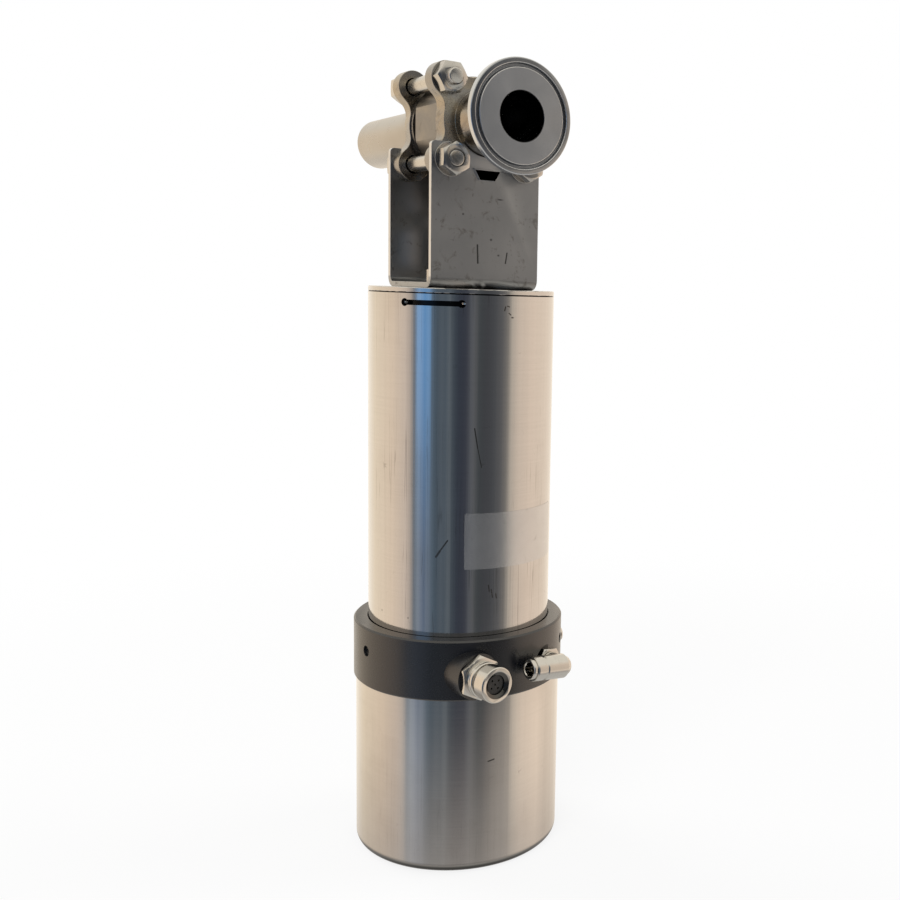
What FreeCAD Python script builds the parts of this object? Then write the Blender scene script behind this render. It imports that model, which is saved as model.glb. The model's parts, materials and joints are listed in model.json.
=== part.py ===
import FreeCAD, Part
import math
import os

Vec = FreeCAD.Vector

# Pneumatic actuator with a three-piece ball valve on top, as it stands in the photograph.
# Millimetres. +Z is up, +X is the flow axis towards the clamp ferrule.
# The origin is the centre of the flat end of the control head cover, on which it stands.

# Fits between pieces
running = 0.05            # radial clearance of a turning or sliding fit
slip = 0.1                # radial clearance of a piece that is slipped in and stays
free_gap = 0.3            # least gap between pieces that move past each other
hex_face = 0.97           # diameter of a hexagon's round face, as a share of its width

# Actuator tube
tube_od = 89.0
tube_wall = 3.0
tube_exposed = 159.5
tube_foot = 8.0           # how deep the tube's foot sits in the collar
joint_gap = 0.5           # open ring round the tube's foot
joint_depth = 2.0

# Control head cover: deep-drawn can
cover_step = 1.1          # how far the cover stands inside the collar's outside
cover_wall = 1.2
cover_height = 85.5
cover_edge_radius = 4.0

# Control collar: black ring between the cover and the actuator
collar_wall = 7.0         # outside of the tube
collar_height = 29.0
collar_chamfer = 0.8
collar_web = 3.0          # lowest part of the collar, which carries its spigot
spigot_length = 9.0
spigot_wall = 3.6
o_ring = 2.6              # cord diameter of the static O-rings
o_ring_squeeze = 0.3

# Lock wires that hold the lid and the bulkhead, and the slots they are fed through
wire_d = 2.2
wire_from_tube_end = 4.4
slot_height = 2.4
slot_end_d = 3.6
slot_from = -62.3         # degrees round the tube
slot_to = -27.0
wire_grip = 1.1           # how deep the wire lies in the lid or the bulkhead

# Lid
lid_lip = 2.5
lid_edge = 0.4
lid_depth = 12.0
lid_ring_up = 4.0         # O-ring above the lid's lower face

# Bulkhead between the cylinder and the control head
bulkhead_flange = 8.0
bulkhead_spigot = 14.0
bulkhead_ring_down = 4.0  # O-ring below the spigot's end
air_hole_d = 3.0

# Set screws that hold the collar on the bulkhead
set_screw_d = 5.0
set_screw_length = 6.0
set_screw_groove = 0.6
set_screw_below_top = 11.2
set_screw_angles = (-84.8, 50.2, 185.2)

# Ports on the collar, all parallel
port_angle = 7.0

# Sensor socket
socket_offset = -23.0     # sideways from the collar's axis
socket_height = 12.9      # above the collar's lower edge
socket_seat_in = 1.2      # seat plane inside the collar's outside
socket_boss_d = 22.0
socket_nut_af = 19.0
socket_nut = 3.0
socket_nut_turn = 9.0
socket_ring_d = 17.0
socket_ring = 3.9
socket_line = 0.3         # width and depth of the line round the ring
socket_neck_d = 14.4
socket_neck = 1.4
socket_barrel_d = 16.8
socket_barrel = 6.9
socket_mouth_d = 12.7
socket_mouth = 1.0
socket_well_d = 9.2
socket_well = 1.8
socket_edge = 0.4
socket_tail_d = 13.0
socket_tail = 18.0
socket_pin_d = 1.0
socket_pin_pcd = 5.0
socket_pins = 5
socket_pin_sleeve = 6.0
socket_pin_tail = 4.0

# Air inlet: swivel elbow with a push-in end
inlet_offset = 18.0
inlet_height = 11.9
inlet_seat_in = 4.1
inlet_face_d = 16.0
inlet_hex_af = 13.0
inlet_hex = 4.2
inlet_hex_turn = 30.0
inlet_thread_d = 9.6
inlet_thread = 7.0
inlet_stem_d = 8.0
inlet_stem_in = 6.0       # how far the stem reaches into the elbow's barrel
inlet_bore_d = 4.0
elbow_d = 11.8
elbow_reach = 11.1        # seat plane to the outlet's axis
elbow_outlet = 16.2       # stem axis to the mouth of the body
elbow_tilt = 6.0          # degrees, mouth upwards
elbow_end_d = 8.8
elbow_far = 4.7           # stem axis to the barrel's closed end
elbow_groove = 0.5        # depth of the groove and size of the rounded edges
elbow_groove_back = 5.4
collet_od = 9.8
collet_lip = 2.0
collet_stroke = 1.5
collet_in = 8.0
tube_hole_d = 6.2
tube_end_d = 8.0
collet_depth = 13.0

# Exhaust plug
exhaust_angle = 77.0
exhaust_height = 12.5
exhaust_d = 8.0
exhaust_head = 3.0
exhaust_edge = 0.8
exhaust_key = 3.0
exhaust_thread_d = 6.0
exhaust_thread = 6.0

# Quarter-turn drive
stroke = 30.0
quarter_turn = 90.0
cam_od = 30.0
cam_id = 20.0
cam_end = 10.0            # solid shaft past each end of the slots
pin_d = 8.0
pin_above_piston = 30.0
journal_d = 16.0
tail_d = 14.0
tail_length = 46.0        # below the bulkhead
shaft_cone = 3.0          # length of the tapers between the shaft's diameters
square_af = 11.0
square_length = 9.6
square_above_base = 7.0

# Piston
piston_gap = 1.5          # rest gap above the bulkhead's spigot
piston_thick = 12.0
piston_clearance = 0.1
piston_edge = 0.6
hub_wall = 5.0
hub_above_pin = 8.0
seal_width = 3.4
seal_depth = 3.0
seal_inset = 2.4          # from the piston's faces to its grooves
guide_width = 3.2
guide_depth = 1.6
dish_depth = 3.0
rod_seal_depth = 2.6

# Return spring
spring_mean_d = 64.0
spring_wire = 6.0
spring_turns = 5.5

# Guide rods
rod_d = 6.0
rod_circle_r = 25.4
rod_seat = 4.0
rod_angle = 35.0

# Bushes and shaft seals
bush_wall = 2.0
bush_length = 6.0
seal_ring_width = 3.0

# Bracket
sheet = 2.5
bracket_inner = 42.5
bracket_width = 56.0
bracket_leg = 66.0        # above the lid
bend_inner = 2.5
bracket_corner = 2.0
shaft_hole_d = 20.0
bracket_screw_pcd = 29.0
bracket_screw_d = 5.0
screw_head_d = 8.5
screw_head = 5.0
screw_key = 4.0
screw_length = 12.0
screw_washer_d = 8.5
screw_washer = 1.0
window_top = 12.4         # widths and height of the small window in the front leg
window_bottom = 6.4
window_height = 3.4
window_below_axis = 21.8
window_rim = 0.9

# Valve
valve_height = 76.2       # flow axis above the lid
pipe_od = 25.4
bore_d = 22.1
ball_d = 34.0
body_half = 14.0
body_r = 22.0
body_edge = 0.6
body_flat = 20.6          # flow axis to the flats on the body's sides
body_ring_r = 20.9        # turned ring at the body's end towards the tube
body_ring = 2.2
body_recess_r = 18.9      # open recess behind that ring
body_recess = 2.5
flange_r = 20.8           # waists of the four-eared flange, at its face and its back
flange_back_r = 21.6
cavity_r = 17.4
seat_od = 33.2
seat_bore = 23.4
seat_back = 3.5           # depth of the seat's pocket in the end cap
seat_nose = 3.3
gasket_r = 20.2
gasket_wall = 1.8
gasket_depth = 1.4
flange_end = 21.25
ear_r = 7.8
ear_blend = 7.0
bolt_y = 19.2
bolt_z = 18.0
bolt_d = 7.6
bolt_hole = 8.6
bolt_over = 0.2           # how far the bolts in the bracket stand out of their nuts
bolt_over_upper = 2.8     # the same for the bolts above the bracket
bolt_edge = 0.7
bolt_af = 13.0
bolt_head = 5.3
nut_height = 6.5
nut_face = 0.9            # the same share for the bolts' nuts
upper_nut_turn = 30.0
washer_d = 15.6
washer_hole_d = 8.0
washer = 1.6
hub_r = 15.2
hub_length = 5.0
hub_cone = 7.0
ferrule_face = 56.0
ferrule_d = 50.5
ferrule_rim = 3.2
ferrule_slope = 20.0      # degrees
ferrule_back_r = 16.0
ferrule_cone = 3.0        # from the pipe's outside to the rim's back
ferrule_edge = 0.5
gasket_groove_in = 20.9
gasket_groove_out = 22.9
gasket_groove = 1.6
stub_end = 100.0

# Valve stem and its packing
stem_d = 12.0
stem_square = 9.0
stem_shoulder_d = 16.0
stem_shoulder = 1.9
thrust_washer = 1.0
tang_width = 8.0
tang_length = 12.0
tang_depth = 4.6
bonnet_d = 26.0
bonnet_drop = 33.5        # bonnet's end below the flow axis
packing_d = 18.0
packing_rings = 3
packing_ring = 2.2
packing_vee = 0.6
packing_room = 5.0        # length of the follower's sleeve in the bonnet
follower_flange_d = 22.0
follower_flange = 3.0
follower_gap = 0.4
disc_spring = 1.2
disc_spring_rise = 0.6
stem_nut_af = 18.0
stem_nut = 5.0

# Coupling
coupling_d = 28.0
coupling_length = 20.0
coupling_web = 1.0
coupling_edge = 1.0
coupling_screw_d = 5.0

# Inside the control head
post_d = 6.0
post_circle_r = 36.0
post_angles = (100.0, 140.0, 220.0, 310.0)
post_screw_d = 4.0
post_screw = 5.0
chassis_d = 84.0
chassis_thick = 2.5
chassis_drop = 60.0       # below the bulkhead
target_d = 34.0
target_thick = 6.0
target_above_end = 4.0    # above the shaft's lower end
magnet_d = 6.0
magnet_thick = 4.0
magnet_circle_r = 13.0
sensor_gap = 1.5
sensor_wide = 12.0
sensor_long = 26.0
pilot_from_axis = 20.0
pilot_deep = 20.0
pilot_wide = 30.0
pilot_tall = 34.0
coil_d = 16.0
coil_tall = 12.0
board_from_edge = 6.0     # from the chassis plate's edge
board_wide = 28.0
board_deep = 18.0
board_thick = 1.6
terminal_inset = 2.0
terminal_deep = 8.0
terminal_tall = 10.0

# Sizes and heights that follow
collar_od = tube_od + 2 * collar_wall
cover_od = collar_od - 2 * cover_step
socket_seat = collar_od / 2 - socket_seat_in
inlet_seat = collar_od / 2 - inlet_seat_in
hub_end = flange_end + hub_length + hub_cone
collar_bottom = cover_height
collar_top = collar_bottom + collar_height
tube_bottom = collar_top - tube_foot
tube_top = collar_top + tube_exposed
lid_top = tube_top + lid_lip
lid_bottom = tube_top - lid_depth
base_top = lid_top + sheet
leg_top = lid_top + bracket_leg
flow_z = lid_top + valve_height
bulkhead_bottom = tube_bottom - bulkhead_flange
spigot_top = tube_bottom + bulkhead_spigot
socket_z = collar_bottom + socket_height
inlet_z = collar_bottom + inlet_height
exhaust_z = collar_bottom + exhaust_height
lid_wire_z = tube_top - wire_from_tube_end
foot_wire_z = tube_bottom + wire_from_tube_end
tube_r = tube_od / 2
cylinder_r = tube_r - tube_wall
piston_bottom = spigot_top + piston_gap
piston_top = piston_bottom + piston_thick
pin_z = piston_top + pin_above_piston
cam_bottom = spigot_top + free_gap
slot_bottom = pin_z - pin_d / 2
cam_top = pin_z + stroke + pin_d / 2 + cam_end
hub_r_in = cam_od / 2 + slip
hub_r_out = hub_r_in + hub_wall
shaft_square_bottom = base_top + square_above_base
shaft_bottom = bulkhead_bottom - tail_length
target_bottom = shaft_bottom + target_above_end
chassis_top = bulkhead_bottom - chassis_drop + chassis_thick
coupling_bottom = shaft_square_bottom + free_gap
coupling_top = coupling_bottom + coupling_length
bonnet_bottom = flow_z - bonnet_drop
ball_bottom = flow_z - ball_d / 2


def disc(radius, z0, z1, x=0.0, y=0.0):
    return Part.makeCylinder(radius, z1 - z0, Vec(x, y, z0))


def ring(outer, inner, z0, z1, x=0.0, y=0.0):
    return disc(outer, z0, z1, x, y).cut(disc(inner, z0 - 1, z1 + 1, x, y))


def rod_x(radius, x0, x1, y=0.0, z=0.0):
    return Part.makeCylinder(radius, x1 - x0, Vec(x0, y, z), Vec(1, 0, 0))


def box(x0, x1, y0, y1, z0, z1):
    return Part.makeBox(x1 - x0, y1 - y0, z1 - z0, Vec(x0, y0, z0))


def turned(points, base, axis):
    """Revolves a closed outline about a line through base along axis."""
    face = Part.Face(Part.makePolygon(points + [points[0]]))
    return face.revolve(base, axis, 360)


def turned_z(outline):
    return turned([Vec(r, 0, z) for r, z in outline], Vec(0, 0, 0), Vec(0, 0, 1))


def turned_x(outline):
    """Outline of (x, radius) about the flow axis."""
    points = [Vec(x, 0, flow_z + r) for x, r in outline]
    return turned(points, Vec(0, 0, flow_z), Vec(1, 0, 0))


def hexagon(across_flats, z0, z1, turn=0.0, face_share=hex_face):
    """Hexagonal prism with both ends chamfered as on a nut."""
    corner = across_flats / math.sqrt(3)
    points = []
    for i in range(7):
        angle = math.radians(60 * i + turn)
        points.append(Vec(corner * math.cos(angle), corner * math.sin(angle), z0))
    prism = Part.Face(Part.makePolygon(points)).extrude(Vec(0, 0, z1 - z0))
    face_r = across_flats / 2 * face_share
    drop = (corner - face_r) * math.tan(math.radians(30))
    turned_blank = turned_z([(0, z0), (face_r, z0), (corner, z0 + drop),
                             (corner, z1 - drop), (face_r, z1), (0, z1)])
    return prism.common(turned_blank)


def torus_seal(radius, z, cord):
    return Part.makeTorus(radius, cord / 2, Vec(0, 0, z))


def aim(shape, base, direction):
    """Turns a shape built along +Z so that it points along direction from base."""
    shape = shape.copy()
    turn = FreeCAD.Rotation(Vec(0, 0, 1), direction)
    shape.Placement = FreeCAD.Placement(base, turn).multiply(shape.Placement)
    return shape


def about_z(shape, degrees):
    shape = shape.copy()
    shape.rotate(Vec(0, 0, 0), Vec(0, 0, 1), degrees)
    return shape


def radial(angle):
    return Vec(math.cos(math.radians(angle)), math.sin(math.radians(angle)), 0)


def port_point(out, side, z):
    """A point in the ports' own directions: out along them, side across them."""
    return radial(port_angle) * out + radial(port_angle + 90) * side + Vec(0, 0, z)


def on_socket(shape):
    """Sets a shape built along +Z on the sensor socket's seat."""
    return aim(shape, port_point(socket_seat, socket_offset, socket_z), radial(port_angle))


def on_inlet(shape):
    return aim(shape, port_point(inlet_seat, inlet_offset, inlet_z), radial(port_angle))


def group(shapes):
    return Part.makeCompound(shapes)


def mirrored_x(shape):
    return shape.mirror(Vec(0, 0, 0), Vec(1, 0, 0))


# Control head

def control_cover():
    outer = disc(cover_od / 2, 0, cover_height)
    rim = [e for e in outer.Edges if e.BoundBox.ZMax < 0.01 and len(e.Vertexes) == 1]
    outer = outer.makeFillet(cover_edge_radius, rim)
    inner = disc(cover_od / 2 - cover_wall, cover_wall, cover_height + 1)
    rim = [e for e in inner.Edges if e.BoundBox.ZMax < cover_wall + 0.01 and len(e.Vertexes) == 1]
    inner = inner.makeFillet(cover_edge_radius - cover_wall, rim)
    return outer.cut(inner)


def spigot_r():
    return cover_od / 2 - cover_wall - slip


def cover_ring_z():
    return collar_bottom - spigot_length / 2


def o_ring_groove(radius, z):
    """Groove in an outside surface of the given radius."""
    depth = o_ring - o_ring_squeeze - slip
    return ring(radius + 1, radius - depth, z - o_ring / 2 - free_gap, z + o_ring / 2 + free_gap)


def o_ring_in(radius, z):
    """O-ring in such a groove, drawn as thick as the room between the groove and the bore."""
    room = o_ring - o_ring_squeeze
    return torus_seal(radius + slip - room / 2, z, room)


def control_collar():
    r = collar_od / 2
    c = collar_chamfer
    inner = tube_r + slip
    web = min(inner, spigot_r() - spigot_wall)
    ring_body = turned_z([
        (inner, collar_bottom + collar_web), (web, collar_bottom + collar_web), (web, collar_bottom),
        (spigot_r() - spigot_wall, collar_bottom),
        (spigot_r() - spigot_wall, collar_bottom - spigot_length),
        (spigot_r(), collar_bottom - spigot_length), (spigot_r(), collar_bottom),
        (r - c, collar_bottom), (r, collar_bottom + c), (r, collar_top - c), (r - c, collar_top),
        (tube_r + joint_gap, collar_top), (tube_r + joint_gap, collar_top - joint_depth),
        (inner, collar_top - joint_depth)])
    boss = on_socket(disc(socket_boss_d / 2, -socket_tail, 0))
    body = ring_body.fuse(boss).cut(disc(inner, collar_bottom + collar_web, collar_top - joint_depth))
    socket_hole = on_socket(disc(socket_tail_d / 2 + slip, -collar_od / 2, 1))
    inlet_face = on_inlet(disc(inlet_face_d / 2, 0, collar_od / 4))
    inlet_hole = on_inlet(disc(inlet_thread_d / 2 + slip, -collar_od / 2, 1))
    exhaust_hole = aim(disc(exhaust_thread_d / 2 + slip, -collar_od / 4, 1),
                       exhaust_base(), radial(exhaust_angle))
    cutters = [o_ring_groove(spigot_r(), cover_ring_z()), socket_hole, inlet_face, inlet_hole, exhaust_hole]
    for angle in set_screw_angles:
        cutters.append(aim(disc(set_screw_d / 2 + slip, 0, collar_od / 4), set_screw_base(angle),
                           radial(angle)))
    return body.cut(cutters)


def set_screw_base(angle):
    """Inner end of a set screw, on the bottom of the groove round the bulkhead."""
    return radial(angle) * (tube_r - set_screw_groove) + Vec(0, 0, collar_top - set_screw_below_top)


def exhaust_base():
    return radial(exhaust_angle) * (collar_od / 2) + Vec(0, 0, exhaust_z)


def cover_o_ring():
    return o_ring_in(spigot_r(), cover_ring_z())


def grub_screw(diameter, length):
    socket = hexagon(diameter / 2, length / 2, length + 1)
    return disc(diameter / 2, 0, length).cut(socket)


def set_screws():
    screws = []
    for angle in set_screw_angles:
        screws.append(aim(grub_screw(set_screw_d, set_screw_length), set_screw_base(angle), radial(angle)))
    return group(screws)


def sensor_socket_nut():
    nut = hexagon(socket_nut_af, 0, socket_nut, socket_nut_turn)
    return on_socket(nut.cut(disc(socket_tail_d / 2 + slip, -1, socket_nut + 1)))


def socket_length():
    return socket_nut + socket_ring + socket_neck + socket_barrel


def sensor_socket_shell():
    ring_end = socket_nut + socket_ring
    line = socket_nut + socket_ring / 2
    barrel_start = ring_end + socket_neck
    front = socket_length()
    tail = socket_tail_d / 2
    ring_r = socket_ring_d / 2
    barrel = socket_barrel_d / 2
    edge = socket_edge
    shell = turned_z([
        (0, -socket_tail), (tail, -socket_tail), (tail, socket_nut), (ring_r, socket_nut),
        (ring_r, line - socket_line / 2), (ring_r - socket_line, line), (ring_r, line + socket_line / 2),
        (ring_r, ring_end - edge), (ring_r - edge, ring_end), (socket_neck_d / 2, ring_end),
        (socket_neck_d / 2, barrel_start), (barrel - edge, barrel_start), (barrel, barrel_start + edge),
        (barrel, front - edge), (barrel - edge, front), (socket_mouth_d / 2, front),
        (socket_well_d / 2, front - socket_mouth), (0, front - socket_mouth)])
    return on_socket(shell.cut(disc(socket_well_d / 2, -socket_tail - 1, front + 1)))


def pin_spots():
    spots = [(0.0, 0.0)]
    for i in range(socket_pins - 1):
        spot = radial(45 + 90 * i) * (socket_pin_pcd / 2)
        spots.append((spot.x, spot.y))
    return spots


def sensor_socket_insert():
    face = socket_length() - socket_well
    insert = disc(socket_well_d / 2 - slip, -socket_tail, face)
    for x, y in pin_spots():
        insert = insert.cut(disc(socket_pin_d / 2, -socket_tail - 1, face + 1, x, y))
    return on_socket(insert)


def sensor_socket_pins():
    """Contacts with a sleeve for the plug's pins and a solder tail behind."""
    face = socket_length() - socket_well
    pins = []
    for x, y in pin_spots():
        pin = disc(socket_pin_d / 2, -socket_tail - socket_pin_tail, face - 1, x, y)
        pins.append(pin.cut(disc(socket_pin_d / 4, face - socket_pin_sleeve, face, x, y)))
    return on_socket(group(pins))


# Air inlet

def inlet_stem():
    top = elbow_reach - elbow_d / 2 + inlet_stem_in
    stem = hexagon(inlet_hex_af, 0, inlet_hex, inlet_hex_turn)
    stem = stem.fuse([disc(inlet_thread_d / 2, -inlet_thread, 0), disc(inlet_stem_d / 2, 0, top)])
    return on_inlet(stem.cut(disc(inlet_bore_d / 2, -inlet_thread - 1, top + 1)))


def outlet_direction():
    side = radial(port_angle + 90) * -1
    tilt = math.radians(elbow_tilt)
    return side * math.cos(tilt) + Vec(0, 0, 1) * math.sin(tilt)


def on_outlet(shape):
    return aim(shape, port_point(inlet_seat + elbow_reach, inlet_offset, inlet_z), outlet_direction())


def collet_bottom():
    return elbow_outlet - collet_in


def elbow_body():
    r = elbow_d / 2
    far = elbow_end_d / 2
    g = elbow_groove
    groove = elbow_outlet - elbow_groove_back
    barrel = turned_z([
        (0, -elbow_far), (far - g, -elbow_far), (far, g - elbow_far), (r - g, -far / 2), (r, g - far / 2),
        (r, groove - 2 * g), (r - g, groove - g), (r - g, groove + g), (r, groove + 2 * g),
        (r, elbow_outlet - g), (r - g, elbow_outlet), (0, elbow_outlet)])
    barrel = barrel.cut([
        disc(collet_od / 2 + running, collet_bottom(), elbow_outlet + 1),
        disc(tube_end_d / 2, elbow_outlet - collet_depth, elbow_outlet)])
    reach = elbow_reach - elbow_d / 2 + inlet_stem_in
    neck = disc(r - g, inlet_hex + free_gap, elbow_reach)
    socket = disc(inlet_stem_d / 2 + running, 0, reach + free_gap)
    return on_outlet(barrel).fuse(on_inlet(neck)).cut(on_inlet(socket))


def release_collet():
    r = collet_od / 2
    hole = tube_hole_d / 2
    e = elbow_groove
    z0 = collet_bottom() + collet_stroke + free_gap
    z1 = elbow_outlet + collet_lip
    return on_outlet(turned_z([
        (hole, z0), (r, z0), (r, z1 - e), (r - e, z1), (hole + e, z1), (hole, z1 - e)]))


def exhaust_plug():
    plug = disc(exhaust_d / 2, 0, exhaust_head).fuse(disc(exhaust_thread_d / 2, -exhaust_thread, 0))
    rim = [e for e in plug.Edges if abs(e.BoundBox.ZMin - exhaust_head) < 0.01 and len(e.Vertexes) == 1]
    plug = plug.makeChamfer(exhaust_edge, rim)
    plug = plug.cut(hexagon(exhaust_key, exhaust_head / 3, exhaust_head + 1))
    return aim(plug, exhaust_base(), radial(exhaust_angle))


# Cylinder

def wire_slot(z):
    """Feeding slot through the tube's wall, with round ends."""
    half = slot_height / 2
    turn = slot_to - slot_from
    sector = Part.makeCylinder(tube_r + 1, slot_height, Vec(0, 0, z - half), Vec(0, 0, 1), turn)
    sector = about_z(sector, slot_from).cut(disc(cylinder_r - 1, z - half - 1, z + half + 1))
    ends = [aim(disc(slot_end_d / 2, cylinder_r - 1, tube_r + 1), Vec(0, 0, z), radial(angle))
            for angle in (slot_from, slot_to)]
    return [sector] + ends


def actuator_tube():
    tube = ring(tube_r, cylinder_r, tube_bottom, tube_top)
    half = slot_height / 2
    for z in (lid_wire_z, foot_wire_z):
        groove = ring(cylinder_r + wire_d - wire_grip + slip, cylinder_r - 1, z - half, z + half)
        tube = tube.cut([groove] + wire_slot(z))
    return tube


def lock_wires():
    """Round wires bent to the grooves; the ends of each lie at its feeding slot."""
    path_r = cylinder_r - wire_grip + wire_d / 2
    sweep = 360 - (slot_to - slot_from)
    wires = []
    for z in (lid_wire_z, foot_wire_z):
        wire = Part.makeTorus(path_r, wire_d / 2, Vec(0, 0, z), Vec(0, 0, 1), 0, 360, sweep)
        wires.append(about_z(wire, slot_to))
    return group(wires)


def wire_groove(z):
    """Half of the lock wire's groove, cut in the piece that the tube holds."""
    return ring(cylinder_r + 1, cylinder_r - wire_grip - slip, z - slot_height / 2, z + slot_height / 2)


def lid_ring_z():
    return lid_bottom + lid_ring_up


def bush_r():
    return journal_d / 2 + running + bush_wall


def actuator_lid():
    r = cylinder_r - slip
    hole = journal_d / 2 + free_gap
    lid = turned_z([
        (hole, lid_bottom), (r, lid_bottom), (r, tube_top), (tube_r - lid_edge, tube_top),
        (tube_r, tube_top + lid_edge), (tube_r, lid_top - lid_edge), (tube_r - lid_edge, lid_top),
        (hole, lid_top)])
    cutters = [wire_groove(lid_wire_z), o_ring_groove(r, lid_ring_z()),
               disc(bush_r(), lid_bottom - 1, lid_bottom + bush_length),
               disc(bush_r(), lid_top - seal_ring_width, lid_top + 1)]
    for x, y in screw_spots():
        cutters.append(disc(bracket_screw_d / 2, screw_end_z(), lid_top + 1, x, y))
    for x, y in rod_spots():
        cutters.append(disc(rod_d / 2 + slip, lid_bottom - 1, lid_bottom + rod_seat, x, y))
    return lid.cut(cutters)


def lid_o_ring():
    return o_ring_in(cylinder_r - slip, lid_ring_z())


def lid_bush():
    return ring(bush_r(), journal_d / 2 + running, lid_bottom, lid_bottom + bush_length)


def lid_shaft_seal():
    return ring(bush_r(), journal_d / 2 + running, lid_top - seal_ring_width, lid_top)


def bulkhead_ring_z():
    return spigot_top - bulkhead_ring_down


def tail_bush_r():
    return tail_d / 2 + running + bush_wall


def bulkhead():
    r = cylinder_r - slip
    plate = turned_z([
        (tail_d / 2 + free_gap, bulkhead_bottom), (tube_r, bulkhead_bottom), (tube_r, tube_bottom),
        (r, tube_bottom), (r, spigot_top), (tail_d / 2 + free_gap, spigot_top)])
    cutters = [
        wire_groove(foot_wire_z), o_ring_groove(r, bulkhead_ring_z()),
        disc(tail_bush_r(), spigot_top - bush_length, spigot_top + 1),
        disc(tail_bush_r(), bulkhead_bottom - 1, bulkhead_bottom + seal_ring_width),
        disc(air_hole_d / 2, bulkhead_bottom - 1, spigot_top + 1, -pilot_from_axis - pilot_deep / 2, 0)]
    for x, y in rod_spots():
        cutters.append(disc(rod_d / 2 + slip, spigot_top - rod_seat, spigot_top + 1, x, y))
    for x, y in post_spots():
        cutters.append(disc(post_screw_d / 2, bulkhead_bottom - 1, bulkhead_bottom + post_screw, x, y))
    screw_z = collar_top - set_screw_below_top
    half = set_screw_d / 2 + slip
    cutters.append(ring(tube_r + 1, tube_r - set_screw_groove, screw_z - half, screw_z + half))
    cutters.append(ports_pocket())
    return plate.cut(cutters)


def ports_pocket():
    """Open pocket under the bulkhead for the tails of the socket and the inlet."""
    inner_end = socket_seat - socket_tail - socket_pin_tail - 1
    half = socket_tail_d / 2 + slip
    y0 = socket_offset - socket_tail_d / 2 - 1
    y1 = inlet_offset + inlet_thread_d / 2 + 1
    pocket = box(inner_end, collar_od / 2, y0, y1, bulkhead_bottom - 1, socket_z + half)
    return about_z(pocket, port_angle)


def bulkhead_o_ring():
    return o_ring_in(cylinder_r - slip, bulkhead_ring_z())


def bulkhead_bush():
    return ring(tail_bush_r(), tail_d / 2 + running, spigot_top - bush_length, spigot_top)


def bulkhead_shaft_seal():
    return ring(tail_bush_r(), tail_d / 2 + running, bulkhead_bottom, bulkhead_bottom + seal_ring_width)


def rod_spots():
    spots = []
    for angle in (rod_angle, rod_angle + 180):
        spot = radial(angle) * rod_circle_r
        spots.append((spot.x, spot.y))
    return spots


def guide_rods():
    return group([disc(rod_d / 2, spigot_top - rod_seat, lid_bottom + rod_seat, x, y)
                  for x, y in rod_spots()])


def piston():
    r = cylinder_r - piston_clearance
    hub_top = pin_z + hub_above_pin
    seal_z = piston_bottom + seal_inset
    guide_z = piston_top - seal_inset
    rod_seal_r = hub_r_in + rod_seal_depth
    dish_r = spring_mean_d / 2 - spring_wire
    body = turned_z([
        (hub_r_in, piston_bottom), (r - piston_edge, piston_bottom), (r, piston_bottom + piston_edge),
        (r, seal_z), (r - seal_depth, seal_z),
        (r - seal_depth, seal_z + seal_width), (r, seal_z + seal_width),
        (r, guide_z - guide_width), (r - guide_depth, guide_z - guide_width), (r - guide_depth, guide_z),
        (r, guide_z), (r, piston_top), (dish_r, piston_top), (dish_r - dish_depth, piston_top - dish_depth),
        (hub_r_out, piston_top - dish_depth), (hub_r_out, hub_top), (hub_r_in, hub_top)])
    cutters = [ring(rod_seal_r, hub_r_in - 1, seal_z, seal_z + seal_width),
               rod_x(pin_d / 2, -hub_r_out - 1, hub_r_out + 1, 0, pin_z)]
    for x, y in rod_spots():
        cutters.append(disc(rod_d / 2 + running, piston_bottom - 1, piston_top + 1, x, y))
    return body.cut(cutters)


def piston_seal():
    z = piston_bottom + seal_inset
    return ring(cylinder_r - running, cylinder_r - piston_clearance - seal_depth, z, z + seal_width)


def piston_rod_seal():
    z = piston_bottom + seal_inset
    return ring(hub_r_in + rod_seal_depth, cam_od / 2 + running, z, z + seal_width)


def piston_guide_ring():
    z = piston_top - seal_inset
    return ring(cylinder_r - running, cylinder_r - piston_clearance - guide_depth, z - guide_width, z)


def cross_pin():
    return rod_x(pin_d / 2, -hub_r_out, hub_r_out, 0, pin_z)


def cam_slot():
    """Two helical slots, each the sweep of the pin as the shaft turns a quarter and the piston rises."""
    steps = 24
    cutters = []
    for i in range(steps + 1):
        share = i / steps
        for side in (0, 180):
            angle = side - quarter_turn * share
            cutters.append(Part.makeCylinder(pin_d / 2 + free_gap, cam_od / 2 + 2,
                                             Vec(0, 0, pin_z + stroke * share), radial(angle)))
    return cutters


def actuator_shaft():
    shaft = turned_z([
        (0, shaft_bottom), (tail_d / 2, shaft_bottom), (tail_d / 2, cam_bottom), (cam_od / 2, cam_bottom),
        (cam_od / 2, cam_top), (journal_d / 2, cam_top + shaft_cone), (journal_d / 2, shaft_square_bottom),
        (0, shaft_square_bottom)])
    half = square_af / 2
    square = box(-half, half, -half, half, shaft_square_bottom - 1, shaft_square_bottom + square_length)
    hollow = disc(cam_id / 2, slot_bottom, cam_top - cam_end)
    shaft = shaft.fuse(square).cut(hollow)
    for cutter in cam_slot():
        shaft = shaft.cut(cutter)
    return shaft


def return_spring():
    """Compression spring between the piston and the lid, with its ends ground flat."""
    r = spring_mean_d / 2
    bottom = piston_top
    top = lid_bottom
    wire_r = spring_wire / 2
    height = top - bottom
    pitch = (height - spring_wire) / spring_turns
    helix = Part.makeHelix(pitch, height + pitch, r)
    circle = Part.Wire(Part.makeCircle(wire_r, Vec(r, 0, 0), Vec(0, 1, 0)))
    coil = Part.Wire(helix.Edges).makePipeShell([circle], True, True)
    coil.translate(Vec(0, 0, bottom - pitch / 2))
    return coil.common(disc(r + spring_wire, bottom, top))


# Bracket

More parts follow.
